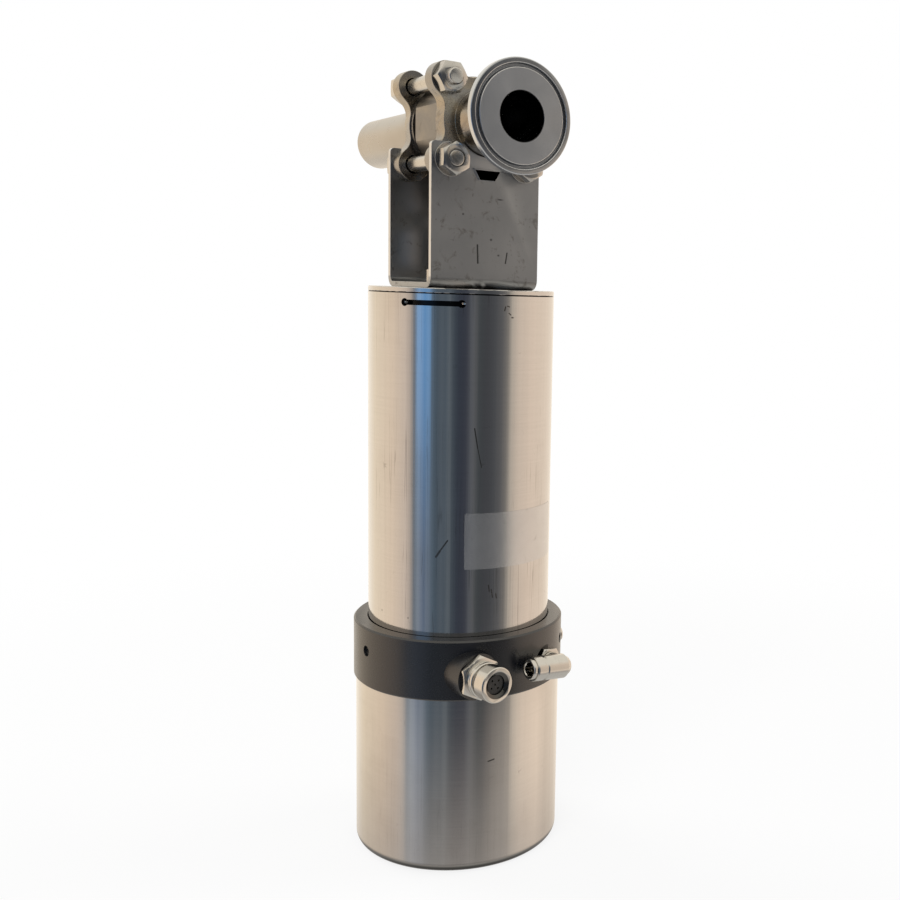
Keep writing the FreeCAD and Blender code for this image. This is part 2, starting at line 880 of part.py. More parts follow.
def screw_spots():
    r = bracket_screw_pcd / 2
    return [(r, 0.0), (0.0, r), (-r, 0.0), (0.0, -r)]


def screw_end_z():
    return base_top + screw_washer - screw_length


def bolt_spots():
    """Sideways and upward places of the four through bolts, and whether each passes the bracket."""
    return [(sy * bolt_y, flow_z + sz * bolt_z, sz < 0) for sy in (-1, 1) for sz in (-1, 1)]


def bracket():
    inner = bracket_inner / 2
    outer = inner + sheet
    half = bracket_width / 2
    blank = box(-outer, outer, -half, half, lid_top, leg_top)
    corners = [e for e in blank.Edges if abs(e.BoundBox.ZMax - lid_top) < 0.01
               and e.BoundBox.YLength > half and e.BoundBox.XLength < 0.01]
    blank = blank.makeFillet(bend_inner + sheet, corners)
    core = box(-inner, inner, -half - 1, half + 1, base_top, leg_top + 1)
    corners = [e for e in core.Edges if abs(e.BoundBox.ZMax - base_top) < 0.01
               and e.BoundBox.YLength > half and e.BoundBox.XLength < 0.01]
    core = core.makeFillet(bend_inner, corners)
    shape = blank.cut(core)
    corners = [e for e in shape.Edges
               if abs(e.BoundBox.ZMin - leg_top) < 0.01 and e.BoundBox.XLength > sheet / 2]
    shape = shape.makeFillet(bracket_corner, corners)
    shape = shape.fuse(window(window_rim, outer, outer + window_rim))
    cutters = [disc(shaft_hole_d / 2, lid_top - 1, base_top + 1),
               rod_x(hub_r + free_gap, -outer - 1, outer + 1, 0, flow_z), window(0, inner - 1, outer + 2)]
    for x, y in screw_spots():
        cutters.append(disc(bracket_screw_d / 2 + free_gap, lid_top - 1, base_top + 1, x, y))
    for y, z, through in bolt_spots():
        if through:
            cutters.append(rod_x(bolt_hole / 2, -outer - 1, outer + 1, y, z))
    return shape.cut(cutters)


def window(margin, x0, x1):
    """Small window in the front leg, wider at the top, grown by a margin all round."""
    top = flow_z - window_below_axis + margin
    bottom = flow_z - window_below_axis - window_height - margin
    half_top = window_top / 2 + margin
    half_bottom = window_bottom / 2 + margin
    outline = [Vec(x0, -half_top, top), Vec(x0, half_top, top), Vec(x0, half_bottom, bottom),
               Vec(x0, -half_bottom, bottom)]
    return Part.Face(Part.makePolygon(outline + [outline[0]])).extrude(Vec(x1 - x0, 0, 0))


def bracket_screws():
    """Socket head cap screws; the washers under their heads are pieces of their own."""
    seat = base_top + screw_washer
    screws = []
    for x, y in screw_spots():
        head = disc(screw_head_d / 2, seat, seat + screw_head, x, y)
        key = hexagon(screw_key, seat + screw_head / 2, seat + screw_head + 1).translated(Vec(x, y, 0))
        shank = disc(bracket_screw_d / 2, screw_end_z(), seat, x, y)
        screws.append(head.fuse(shank).cut(key))
    return group(screws)


def bracket_washers():
    return group([ring(screw_washer_d / 2, bracket_screw_d / 2 + slip, base_top, base_top + screw_washer, x, y)
                  for x, y in screw_spots()])


# Valve

def valve_body():
    """Barrel with a flat on either side, and a turned ring with a recess at the tube's end."""
    r = body_r
    e = body_edge
    x = body_half
    ring_end = body_ring - x
    start = ring_end + body_recess
    barrel = turned_x([
        (start, cavity_r), (start, r - e), (start + e, r), (x - e, r), (x, r - e), (x, cavity_r)])
    for side in (-1, 1):
        middle = side * (body_flat + r)
        barrel = barrel.cut(box(-x - 1, x + 1, middle - r, middle + r, flow_z - r - 1, flow_z + r + 1))
    end_ring = turned_x([
        (-x, cavity_r), (-x, body_ring_r), (ring_end, body_ring_r), (ring_end, body_recess_r),
        (start, body_recess_r), (start, cavity_r)])
    barrel = barrel.fuse(end_ring)
    bonnet = disc(bonnet_d / 2, bonnet_bottom, flow_z - cavity_r)
    body = barrel.fuse(bonnet)
    body = body.cut(rod_x(cavity_r, -x - 1, x + 1, 0, flow_z))
    body = body.cut([
        disc(packing_d / 2, bonnet_bottom - 1, packing_top()),
        disc(stem_d / 2 + running, packing_top() - 1, ball_bottom),
        disc(stem_shoulder_d / 2 + running, shoulder_bottom() - thrust_washer, ball_bottom + 2)])
    groove = turned_x([(x - gasket_depth, gasket_r - gasket_wall), (x - gasket_depth, gasket_r),
                       (x + 1, gasket_r), (x + 1, gasket_r - gasket_wall)])
    return body.cut([groove, mirrored_x(groove)])


def packing_top():
    return bonnet_bottom + packing_rings * packing_ring + packing_room


def shoulder_bottom():
    return ball_bottom - running - stem_shoulder


def body_gaskets():
    x = body_half
    gasket = turned_x([(x - gasket_depth, gasket_r - gasket_wall), (x - gasket_depth, gasket_r),
                       (x, gasket_r), (x, gasket_r - gasket_wall)])
    return group([gasket, mirrored_x(gasket)])


def ball_seats():
    x0 = body_half - seat_nose
    x1 = body_half + seat_back
    seat = turned_x([(x0, seat_bore / 2), (x0, seat_od / 2), (x1, seat_od / 2), (x1, seat_bore / 2)])
    sphere = Part.makeSphere(ball_d / 2 + running, Vec(0, 0, flow_z))
    seat = seat.cut(sphere)
    return group([seat, mirrored_x(seat)])


def ball():
    sphere = Part.makeSphere(ball_d / 2, Vec(0, 0, flow_z))
    bore = Part.makeCylinder(bore_d / 2, ball_d + 2, Vec(0, -ball_d / 2 - 1, flow_z), Vec(0, 1, 0))
    slot = box(-ball_d, ball_d, -tang_width / 2 - slip, tang_width / 2 + slip,
               ball_bottom - 1, ball_bottom + tang_depth)
    return sphere.cut([bore, slot])


def ear_plate(x0, x1):
    """Flange with four ears and hollow waists between them, cast with a little draft."""
    plate = turned_x([(x0, 0), (x0, flange_back_r), (x1, flange_r), (x1, 0)])
    for y, z, _ in bolt_spots():
        reach = math.hypot(y, z - flow_z)
        arm = box(x0, x1, 0, reach, flow_z - ear_r, flow_z + ear_r)
        arm.rotate(Vec(0, 0, flow_z), Vec(1, 0, 0), math.degrees(math.atan2(z - flow_z, y)))
        plate = plate.fuse([arm, rod_x(ear_r, x0, x1, y, z)])
    plate = plate.removeSplitter()
    blends = []
    for e in plate.Edges:
        along = e.BoundBox.XLength > (x1 - x0) * 0.9
        distances = [math.hypot(v.Y, v.Z - flow_z) for v in e.Vertexes]
        if along and flange_r - slip < min(distances) and max(distances) < flange_back_r + slip:
            blends.append(e)
    plate = plate.makeFillet(ear_blend, blends)
    for y, z, _ in bolt_spots():
        plate = plate.cut(rod_x(bolt_hole / 2, x0 - 1, x1 + 1, y, z))
    return plate


def end_cap():
    """Eared flange with a hub that the ferrule or the tube is welded to."""
    hub = turned_x([
        (body_half, bore_d / 2), (body_half, hub_r), (flange_end + hub_length, hub_r), (hub_end, pipe_od / 2),
        (hub_end, bore_d / 2)])
    cap = ear_plate(body_half, flange_end).fuse(hub)
    pocket = rod_x(seat_od / 2 + running, body_half - 1, body_half + seat_back, 0, flow_z)
    bore = rod_x(bore_d / 2, body_half - 1, hub_end + 1, 0, flow_z)
    return cap.cut([pocket, bore])


def end_cap_ferrule():
    return end_cap()


def end_cap_tube():
    return mirrored_x(end_cap())


def clamp_ferrule():
    r = ferrule_d / 2
    face = ferrule_face
    e = ferrule_edge
    slope = (r - ferrule_back_r) * math.tan(math.radians(ferrule_slope))
    back = face - ferrule_rim
    return turned_x([
        (hub_end, bore_d / 2), (hub_end, pipe_od / 2),
        (back - slope - ferrule_cone, pipe_od / 2), (back - slope, ferrule_back_r), (back, r), (face - e, r),
        (face, r - e), (face, gasket_groove_out), (face - gasket_groove, gasket_groove_out - e),
        (face - gasket_groove, gasket_groove_in + e), (face, gasket_groove_in), (face, bore_d / 2)])


def tube_stub():
    return mirrored_x(turned_x([
        (hub_end, bore_d / 2), (hub_end, pipe_od / 2), (stub_end, pipe_od / 2), (stub_end, bore_d / 2)]))


def bolt_seat(through):
    """Where heads and nuts bear: the lower four on washers outside the bracket, the upper on the ears."""
    return flange_end + (sheet + washer if through else 0)


def through_bolts():
    bolts = []
    for y, z, through in bolt_spots():
        seat = bolt_seat(through)
        end = seat + nut_height + (bolt_over if through else bolt_over_upper)
        shank = rod_x(bolt_d / 2, -seat, end, y, z)
        head = aim(hexagon(bolt_af, 0, bolt_head), Vec(-seat, y, z), Vec(-1, 0, 0))
        rim = [e for e in shank.Edges if abs(e.BoundBox.XMin - end) < 0.01 and len(e.Vertexes) == 1]
        shank = shank.makeChamfer(bolt_edge, rim)
        bolts.append(shank.fuse(head))
    return group(bolts)


def bolt_nuts():
    nuts = []
    for y, z, through in bolt_spots():
        turn = 0 if through else upper_nut_turn
        nut = hexagon(bolt_af, 0, nut_height, turn, nut_face).cut(disc(bolt_d / 2, -1, nut_height + 1))
        nuts.append(aim(nut, Vec(bolt_seat(through), y, z), Vec(1, 0, 0)))
    return group(nuts)


def bolt_washers():
    washers = []
    for y, z, through in bolt_spots():
        if through:
            outside = bolt_seat(through)
            for x0 in (outside - washer, -outside):
                flat = rod_x(washer_d / 2, x0, x0 + washer, y, z)
                washers.append(flat.cut(rod_x(washer_hole_d / 2, x0 - 1, x0 + washer + 1, y, z)))
    return group(washers)


# Stem, packing and coupling

def valve_stem():
    bottom = coupling_bottom + (coupling_length + coupling_web) / 2
    half = stem_square / 2
    square = box(-half, half, -half, half, bottom, coupling_top + 1)
    round_part = disc(stem_d / 2, coupling_top, shoulder_bottom())
    shoulder = disc(stem_shoulder_d / 2, shoulder_bottom(), shoulder_bottom() + stem_shoulder)
    tang = box(-tang_length / 2, tang_length / 2, -tang_width / 2, tang_width / 2,
               shoulder_bottom() + stem_shoulder, ball_bottom + tang_depth - free_gap)
    return round_part.fuse([square.common(disc(stem_d / 2, bottom, coupling_top + 1)), shoulder, tang])


def stem_thrust_washer():
    return ring(stem_shoulder_d / 2, stem_d / 2 + running, shoulder_bottom() - thrust_washer,
                shoulder_bottom() - running)


def stem_packing():
    """V-shaped rings stacked in the packing chamber."""
    rings = []
    for i in range(packing_rings):
        z0 = packing_top() - packing_vee - (i + 1) * packing_ring
        z1 = z0 + packing_ring
        mid = (packing_d + stem_d) / 4
        rings.append(turned_z([
            (stem_d / 2 + running, z0), (mid, z0 + packing_vee), (packing_d / 2, z0),
            (packing_d / 2, z1), (mid, z1 + packing_vee), (stem_d / 2 + running, z1)]))
    return group(rings)


def follower_bottom():
    return bonnet_bottom - follower_gap - follower_flange


def packing_follower():
    z0 = follower_bottom()
    z1 = z0 + follower_flange
    sleeve_top = packing_top() - packing_vee - packing_rings * packing_ring
    bore = stem_d / 2 + running
    sleeve = packing_d / 2 - slip
    return turned_z([
        (bore, z0), (follower_flange_d / 2, z0), (follower_flange_d / 2, z1), (sleeve, z1),
        (sleeve, sleeve_top), (bore, sleeve_top)])


def disc_spring_height():
    return disc_spring + disc_spring_rise


def disc_springs():
    """Two coned washers, back to back, that keep the packing pressed."""
    r0 = stem_d / 2 + slip
    r1 = follower_flange_d / 2 - free_gap
    z2 = follower_bottom() - running
    z1 = z2 - disc_spring_height()
    z0 = z1 - disc_spring_height()
    upper = turned_z([(r0, z1), (r1, z1 + disc_spring_rise), (r1, z2), (r0, z2 - disc_spring_rise)])
    lower = turned_z([(r0, z0 + disc_spring_rise), (r1, z0), (r1, z1 - disc_spring_rise), (r0, z1)])
    return group([lower, upper])


def stem_gland_nut():
    z1 = follower_bottom() - running - 2 * disc_spring_height()
    return hexagon(stem_nut_af, z1 - stem_nut, z1).cut(disc(stem_d / 2, z1 - stem_nut - 1, z1 + 1))


def shaft_coupling():
    z0 = coupling_bottom
    z1 = coupling_top
    r = coupling_d / 2
    e = coupling_edge
    sleeve = turned_z([(0, z0), (r - e, z0), (r, z0 + e), (r, z1 - e), (r - e, z1), (0, z1)])
    mid = (z0 + z1) / 2
    low = square_af / 2
    high = stem_square / 2
    sleeve = sleeve.cut([
        box(-low, low, -low, low, z0 - 1, mid - coupling_web / 2),
        box(-high, high, -high, high, mid + coupling_web / 2, z1 + 1)])
    for z in coupling_screw_z():
        hole = Part.makeCylinder(coupling_screw_d / 2, r + 1, Vec(0, 0, z), Vec(0, -1, 0))
        sleeve = sleeve.cut(hole)
    return sleeve


def coupling_screw_z():
    quarter = coupling_length / 4
    return (coupling_bottom + quarter, coupling_top - quarter)


def coupling_screws():
    screws = []
    starts = (square_af / 2, stem_square / 2)
    for z, start in zip(coupling_screw_z(), starts):
        screw = grub_screw(coupling_screw_d, coupling_d / 2 - start - coupling_edge)
        screws.append(aim(screw, Vec(0, -start, z), Vec(0, -1, 0)))
    return group(screws)


# Inside the control head

def post_spots():
    spots = []
    for angle in post_angles:
        spot = radial(angle) * post_circle_r
        spots.append((spot.x, spot.y))
    return spots


def chassis_posts():
    posts = []
    for x, y in post_spots():
        post = disc(post_d / 2, chassis_top, bulkhead_bottom, x, y)
        posts.append(post.fuse(disc(post_screw_d / 2, bulkhead_bottom, bulkhead_bottom + post_screw, x, y)))
    return group(posts)


def chassis_plate():
    return disc(chassis_d / 2, chassis_top - chassis_thick, chassis_top)


def magnet_spots():
    spots = []
    for angle in (0, quarter_turn):
        spot = radial(angle) * magnet_circle_r
        spots.append((spot.x, spot.y))
    return spots


def target_disc():
    hub = ring(target_d / 2, tail_d / 2, target_bottom, target_bottom + target_thick)
    return hub.cut([disc(magnet_d / 2, target_bottom - 1, target_bottom + magnet_thick, x, y)
                    for x, y in magnet_spots()])


def target_magnets():
    return group([disc(magnet_d / 2, target_bottom, target_bottom + magnet_thick, x, y)
                  for x, y in magnet_spots()])


def end_sensors():
    """Two blocks on the chassis plate that see the target's magnets at either end of the turn."""
    near = tail_d / 2 + sensor_gap
    first = box(near, near + sensor_wide, -sensor_long / 2, sensor_long / 2, chassis_top,
                target_bottom - sensor_gap)
    return group([first, about_z(first, 180)])


def terminal_board():
    y0 = board_from_edge - chassis_d / 2
    z1 = chassis_top + board_thick
    inset = terminal_inset
    board = box(-board_wide / 2, board_wide / 2, y0, y0 + board_deep, chassis_top, z1)
    strip = box(inset - board_wide / 2, board_wide / 2 - inset, y0 + inset, y0 + inset + terminal_deep,
                z1, z1 + terminal_tall)
    return board.fuse(strip)


def pilot_valve():
    """Valve block under the bulkhead, with its coil below."""
    bottom = bulkhead_bottom - pilot_tall
    block = box(-pilot_from_axis - pilot_deep, -pilot_from_axis, -pilot_wide / 2, pilot_wide / 2,
                bottom, bulkhead_bottom)
    coil = disc(coil_d / 2, bottom - coil_tall, bottom, -pilot_from_axis - pilot_deep / 2, 0)
    return block.fuse(coil)


PIECES = [
    control_cover, control_collar, cover_o_ring, set_screws,
    sensor_socket_nut, sensor_socket_shell, sensor_socket_insert, sensor_socket_pins,
    inlet_stem, elbow_body, release_collet, exhaust_plug,
    actuator_tube, lock_wires, actuator_lid, lid_o_ring, lid_bush, lid_shaft_seal,
    bulkhead, bulkhead_o_ring, bulkhead_bush, bulkhead_shaft_seal, guide_rods,
    piston, piston_seal, piston_rod_seal, piston_guide_ring, cross_pin, actuator_shaft, return_spring,
    bracket, bracket_screws, bracket_washers, valve_body, body_gaskets, ball_seats, ball,
    end_cap_ferrule, clamp_ferrule, end_cap_tube, tube_stub, through_bolts, bolt_nuts, bolt_washers,
    valve_stem, stem_thrust_washer, stem_packing, packing_follower, disc_springs, stem_gland_nut,
    shaft_coupling, coupling_screws,
    chassis_posts, chassis_plate, target_disc, target_magnets, end_sensors, terminal_board, pilot_valve]

os.makedirs("parts", exist_ok=True)
for piece in PIECES:
    shape = piece()
    shape.exportStep("parts/" + piece.__name__ + ".step")
    print(piece.__name__, len(shape.Solids), "solids", round(shape.Volume / 1000, 2), "cm3", shape.isValid())
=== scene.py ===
import bpy
import json
import math
from mathutils import Matrix, Vector


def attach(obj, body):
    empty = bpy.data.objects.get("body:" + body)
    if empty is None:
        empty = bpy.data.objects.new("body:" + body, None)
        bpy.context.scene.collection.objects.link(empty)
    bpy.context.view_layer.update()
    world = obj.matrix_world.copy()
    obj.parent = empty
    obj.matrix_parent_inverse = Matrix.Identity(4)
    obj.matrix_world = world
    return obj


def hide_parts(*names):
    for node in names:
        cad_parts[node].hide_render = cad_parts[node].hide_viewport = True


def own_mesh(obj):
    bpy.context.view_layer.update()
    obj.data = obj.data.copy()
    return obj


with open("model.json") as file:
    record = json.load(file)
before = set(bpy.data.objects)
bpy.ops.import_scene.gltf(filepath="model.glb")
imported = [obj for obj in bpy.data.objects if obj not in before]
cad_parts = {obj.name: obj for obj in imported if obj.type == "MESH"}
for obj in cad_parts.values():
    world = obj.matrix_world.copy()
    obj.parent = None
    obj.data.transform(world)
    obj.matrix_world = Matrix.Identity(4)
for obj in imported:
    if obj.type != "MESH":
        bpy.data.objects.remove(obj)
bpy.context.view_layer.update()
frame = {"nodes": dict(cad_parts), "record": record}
nodes = frame["nodes"]
bpy.ops.object.select_all(action="DESELECT")

# Measures of the unit, in metres and degrees, as the solids have them
unit = {
    "tubeRadius": 0.0445,
    "flowHeight": 0.3527,
    "boreEdge": (0.0112, 0.0114),  # just outside the bore's wall
    "boltSide": 0.0192,  # sideways and upward from the flow axis
    "boltLift": 0.018,
    "portTurn": 7.0,
    "outletTilt": 6.0,
    "socketSide": -0.023,
    "socketHeight": 0.0984,
    "inletSide": 0.018,
    "inletHeight": 0.0974,
    "inletOut": 0.0585,
}
alongFlow = (1, 0, 0)
flowCentre = (0, 0, unit["flowHeight"])


def portPlace(out, side, height):
    # a point given outwards and sideways of the side that carries the ports
    turn = math.radians(unit["portTurn"])
    return (
        out * math.cos(turn) - side * math.sin(turn),
        out * math.sin(turn) + side * math.cos(turn),
        height)


portWay = portPlace(1, 0, 0)
socketCentre = portPlace(0, unit["socketSide"], unit["socketHeight"])


# Camera

shot = {
    "place": (0.513465, -0.260818, 0.277944),
    "heading": 142.831,  # degrees from +X, where the camera looks
    "pitch": -7.65,
    "roll": 1.934,
    "lens": 46.07,
    "shift": (-0.2410, -0.0032),
    "clip": (0.01, 20),
}


def setCamera():
    heading = math.radians(shot["heading"])
    pitch = math.radians(shot["pitch"])
    roll = math.radians(shot["roll"])
    level = math.cos(pitch)
    ahead = Vector((math.cos(heading) * level, math.sin(heading) * level, math.sin(pitch)))
    right = ahead.cross(Vector((0, 0, 1))).normalized()
    up = right.cross(ahead)
    tiltedRight = right * math.cos(roll) + up * math.sin(roll)
    tiltedUp = up * math.cos(roll) - right * math.sin(roll)
    turn = Matrix((tiltedRight, tiltedUp, -ahead)).transposed().to_4x4()
    bpy.ops.object.camera_add()
    camera = bpy.context.object
    camera.name = "productCamera"
    camera.matrix_world = Matrix.Translation(shot["place"]) @ turn
    camera.data.lens = shot["lens"]
    camera.data.shift_x, camera.data.shift_y = shot["shift"]
    camera.data.clip_start, camera.data.clip_end = shot["clip"]
    bpy.context.scene.camera = camera
    camera.select_set(False)


setCamera()
print("camera set")


# Materials

class Flow:
    # one output socket, so that a pattern reads as a sum
    def __init__(self, finish, socket):
        self.finish = finish
        self.socket = socket

    def math(self, operation, first, second):
        return self.finish.math(operation, first, second)

    def __add__(self, other):
        return self.math("ADD", self, other)

    def __radd__(self, other):
        return self.math("ADD", other, self)

    def __sub__(self, other):
        return self.math("SUBTRACT", self, other)

    def __rsub__(self, other):
        return self.math("SUBTRACT", other, self)

    def __mul__(self, other):
        return self.math("MULTIPLY", self, other)

    def __truediv__(self, other):
        return self.math("DIVIDE", self, other)

    def __pow__(self, other):
        return self.math("POWER", self, other)

    def __abs__(self):
        return self.math("ABSOLUTE", self, 0.0)

    def atMost(self, other):
        return self.math("MINIMUM", self, other)

    def atLeast(self, other):
        return self.math("MAXIMUM", self, other)


class Finish:
    # one material: its Principled shader and the nodes that feed it
    def __init__(self, name, **constants):
        self.material = bpy.data.materials.new(name)
        self.material.use_nodes = True
        self.tree = self.material.node_tree
        self.shader = self.tree.nodes["Principled BSDF"]
        for key, value in constants.items():
            self.shader.inputs[key.replace("_", " ")].default_value = value
        self.place = self.node("TexCoord", {}, {}, "Object")

    def node(self, kind, settings, values, output=0):
        made = self.tree.nodes.new("ShaderNode" + kind)
        for key, value in settings.items():
            if key == "stops":
                ramp = made.color_ramp
                for index, (place, colour) in enumerate(value):
                    stop = ramp.elements[index] if index < 2 else ramp.elements.new(place)
                    stop.position = place
                    stop.color = colour
            else:
                setattr(made, key, value)
        for key, value in values.items():
            if isinstance(value, Flow):
                self.tree.links.new(value.socket, made.inputs[key])
            else:
                made.inputs[key].default_value = value
        return Flow(self, made.outputs[output])

    def math(self, operation, first, second=0.0):
        return self.node("Math", {"operation": operation}, {0: first, 1: second})

    def vector(self, operation, first, second, output=0):
        return self.node("VectorMath", {"operation": operation}, {0: first, 1: second}, output)

    def noise(self, scale, detail, rough, stretch=(1, 1, 1), warp=0.0):
        where = self.node("Mapping", {}, {"Vector": self.place, "Scale": stretch})
        return self.node("TexNoise", {}, {
            "Vector": where, "Scale": scale, "Detail": detail, "Roughness": rough, "Distortion": warp})

    def step(self, value, low, high):
        return self.node("MapRange", {"interpolation_type": "SMOOTHSTEP"}, {
            "Value": value, "From Min": low, "From Max": high, "To Min": 0.0, "To Max": 1.0})

    def part(self, axis):
        return self.node("SeparateXYZ", {}, {"Vector": self.place}, axis)

    def mix(self, share, first, second, blend="MIX"):
        settings = {"data_type": "RGBA", "blend_type": blend}
        return self.node("Mix", settings, {0: share, 6: first, 7: second}, 2)

    def radius(self):
        # distance from the upright axis
        return (self.part(0) * self.part(0) + self.part(1) * self.part(1)) ** 0.5

    def band(self, value, low, high, soft):
        return self.step(value, low - soft, low) * (1.0 - self.step(value, high, high + soft))

    def spot(self, centre, reach):
        # 1 at a point, falling to 0 at the reach given for each direction
        away = self.vector("SUBTRACT", self.place, centre)
        scaled = self.vector("DIVIDE", away, reach)
        length = self.node("VectorMath", {"operation": "LENGTH"}, {0: scaled}, "Value")
        return self.step(1.0 - length, low=0.0, high=1.0)

    def scratch(self, start, end, width):
        # 1 along a straight line between two points
        way = Vector(end) - Vector(start)
        away = self.vector("SUBTRACT", self.place, start)
        along = self.vector("DOT_PRODUCT", away, way / way.length_squared, "Value")
        share = along.atLeast(0.0).atMost(1.0)
        near = self.node("VectorMath", {"operation": "SCALE"}, {0: way, "Scale": share})
        gap = self.vector("DISTANCE", away, near, "Value")
        return 1.0 - self.step(gap, width * 0.4, width)

    def reach(self, point, direction):
        # distance from an axis
        away = self.vector("SUBTRACT", self.place, point)
        turned = self.vector("CROSS_PRODUCT", away, direction)
        return self.node("VectorMath", {"operation": "LENGTH"}, {0: turned}, "Value")

    def scuffs(self, scale, width, thin):
        # fine wandering lines, kept only where a broad noise is high
        lines = 1.0 - self.step(abs(self.noise(scale, detail=1.5, rough=0.5, warp=0.6) - 0.5), 0.0, width)
        where = self.step(self.noise(scale * 1.7, detail=1.0, rough=0.5), thin, thin + 0.12)
        return lines * where

    def darkBore(self, base):
        # the walls that the flow passes lie in the dark
        inside = 1.0 - self.step(self.reach(flowCentre, alongFlow), *unit["boreEdge"])
        return self.mix(inside * gloom["boreShare"], base, gloom["tone"])

    def feed(self, key, flow):
        self.tree.links.new(flow.socket, self.shader.inputs[key])

    def bump(self, height, strength, distance):
        self.feed("Normal", self.node("Bump", {}, {
            "Height": height, "Strength": strength, "Distance": distance}))


def shade(level, tint=(1, 1, 1)):
    return (level * tint[0], level * tint[1], level * tint[2], 1)


gloom = {"boreShare": 0.9, "tone": shade(0.02)}
finishes = {}


def makeTurnedSteel(name, values):
    # steel polished round the vertical axis and drawn along it, with handling marks
    finish = Finish(name, Metallic=1.0)
    rings = finish.noise(1.0, detail=4.0, rough=0.6, stretch=(30, 30, values["lines"]))
    streaks = finish.noise(1.0, detail=3.0, rough=0.6, stretch=(values["streaks"], values["streaks"], 5))
    cloud = finish.noise(values["cloud"], detail=4.0, rough=0.6)
    fine = rings * 0.5 + streaks * 0.5
    dark, light, tint = values["dark"], values["light"], values["tint"]
    base = finish.mix(fine, shade(dark, tint), shade(light, tint))
    stain = finish.step(cloud, low=0.45, high=0.8) * values["stain"]
    base = finish.mix(stain, base, shade(dark * 0.8, (1, 0.93, 0.84)))
    wander = abs(finish.noise(1.0, detail=2.0, rough=0.5, stretch=(330, 330, 5)) - 0.5)
    hairs = (1.0 - finish.step(wander, low=0.003, high=0.014)) * finish.step(cloud, low=0.42, high=0.62)
    marks = (finish.scuffs(90, width=0.004, thin=0.60) * 0.3).atLeast(hairs * values["hairs"])
    for centre, reach in values["marks"]:
        marks = marks.atLeast(finish.spot(centre, reach))
    for start, end, width in values["scratches"]:
        marks = marks.atLeast(finish.scratch(start, end, width) * 0.8)
    base = finish.mix(marks, base, shade(0.05, (1, 0.9, 0.75)))
    for low, high, soft, share in values["shadows"]:
        base = finish.mix(finish.band(finish.part(2), low, high, soft) * share, base, shade(0.015))
    if "skin" in values:  # everything within this radius lies in the dark
        inside = 1.0 - finish.step(finish.radius(), *values["skin"])
        base = finish.mix(inside, base, gloom["tone"])
    finish.feed("Base Color", base)
    finish.feed("Roughness", values["roughness"] + fine * 0.08 + cloud * 0.05 + marks * 0.2 - 0.06)
    finish.bump(rings * 0.2 + streaks * 0.8 - marks * 0.3, values["bump"], distance=0.0001)
    finishes[name] = finish.material


def makeCastSteel(name, values):
    # cast and partly polished: uneven skin, brown tarnish in patches, small pits
    finish = Finish(name, Metallic=1.0)
    grain = finish.noise(values["grain"], detail=5.0, rough=0.65)
    lumps = finish.noise(values["grain"] / 6, detail=2.0, rough=0.5)
    cloud = finish.noise(60, detail=4.0, rough=0.6, warp=0.4)
    stain = finish.step(finish.noise(95, detail=5.0, rough=0.7, warp=0.6), low=0.52, high=0.72)
    pits = finish.step(finish.noise(520, detail=3.0, rough=0.6), low=0.64, high=0.74)
    base = finish.mix(finish.step(cloud, low=0.4, high=0.65), values["cool"], values["warm"])
    base = finish.mix(stain * 0.45, base, values["dirt"])
    base = finish.mix(pits * 0.35, base, values["dirt"])
    base = finish.darkBore(base)
    finish.feed("Base Color", base)
    finish.feed("Roughness", values["roughness"] + grain * 0.14 + stain * 0.08 - 0.08)
    finish.bump(grain * 0.5 + lumps * 0.5 - pits * 0.4, values["bump"], distance=0.0003)
    finishes[name] = finish.material


def makePlainMetal(name, values):
    # machined or plated metal: slight clouds, fine lines and a few scuffs
    finish = Finish(name, Metallic=values.get("metallic", 1.0))
    cloud = finish.noise(values.get("cloud", 120), detail=4.0, rough=0.6)
    lines = finish.noise(1.0, detail=3.0, rough=0.6, stretch=values.get("lines", (900, 900, 900)))
    marks = finish.scuffs(160, width=0.008, thin=0.55)
    base = finish.mix(cloud, values["dark"], values["light"])
    base = finish.mix(marks * values.get("marks", 0.3), base, shade(0.15))
    if "mouth" in values:  # the shaded funnel round the contacts
        shadow = 1.0 - finish.step(finish.reach(*values["mouth"]), *values["mouthEdge"])
        base = finish.mix(shadow * 0.9, base, shade(0.04))
    finish.feed("Base Color", base)
    finish.feed("Roughness", values["roughness"] + cloud * 0.10 + lines * 0.06 - 0.08)
    height = lines * 0.5 - marks * 0.5
    if "threadFrom" in values:  # the bolts' ends beyond the ears carry a thread
        along = finish.part(0)
        turns = finish.math("SINE", along * (2 * math.pi / values["threadPitch"]))
        threaded = finish.step(along, *values["threadFrom"])
        height = height + turns * threaded * values["threadHeight"]
    finish.bump(height, values.get("bump", 0.08), distance=0.00005)
    finishes[name] = finish.material


def makeAnodised(name, values):
    # dyed black metal: a deep colour under a slight sheen, rubbed a little at its edges
    finish = Finish(name, Metallic=0.0, Specular_IOR_Level=0.9)
    cloud = finish.noise(70, detail=4.0, rough=0.6)
    grain = finish.noise(1600, detail=2.0, rough=0.5)
    rubbed = finish.step(finish.noise(260, detail=4.0, rough=0.65), low=0.62, high=0.75)
    base = finish.mix(cloud, values["dark"], values["light"])
    finish.feed("Base Color", finish.mix(rubbed * 0.25, base, values["wearAndHighlight"]))
    finish.feed("Roughness", values["roughness"] + cloud * 0.10 - rubbed * 0.06 - 0.05)
    finish.bump(grain, values["bump"], distance=0.00008)
    finishes[name] = finish.material


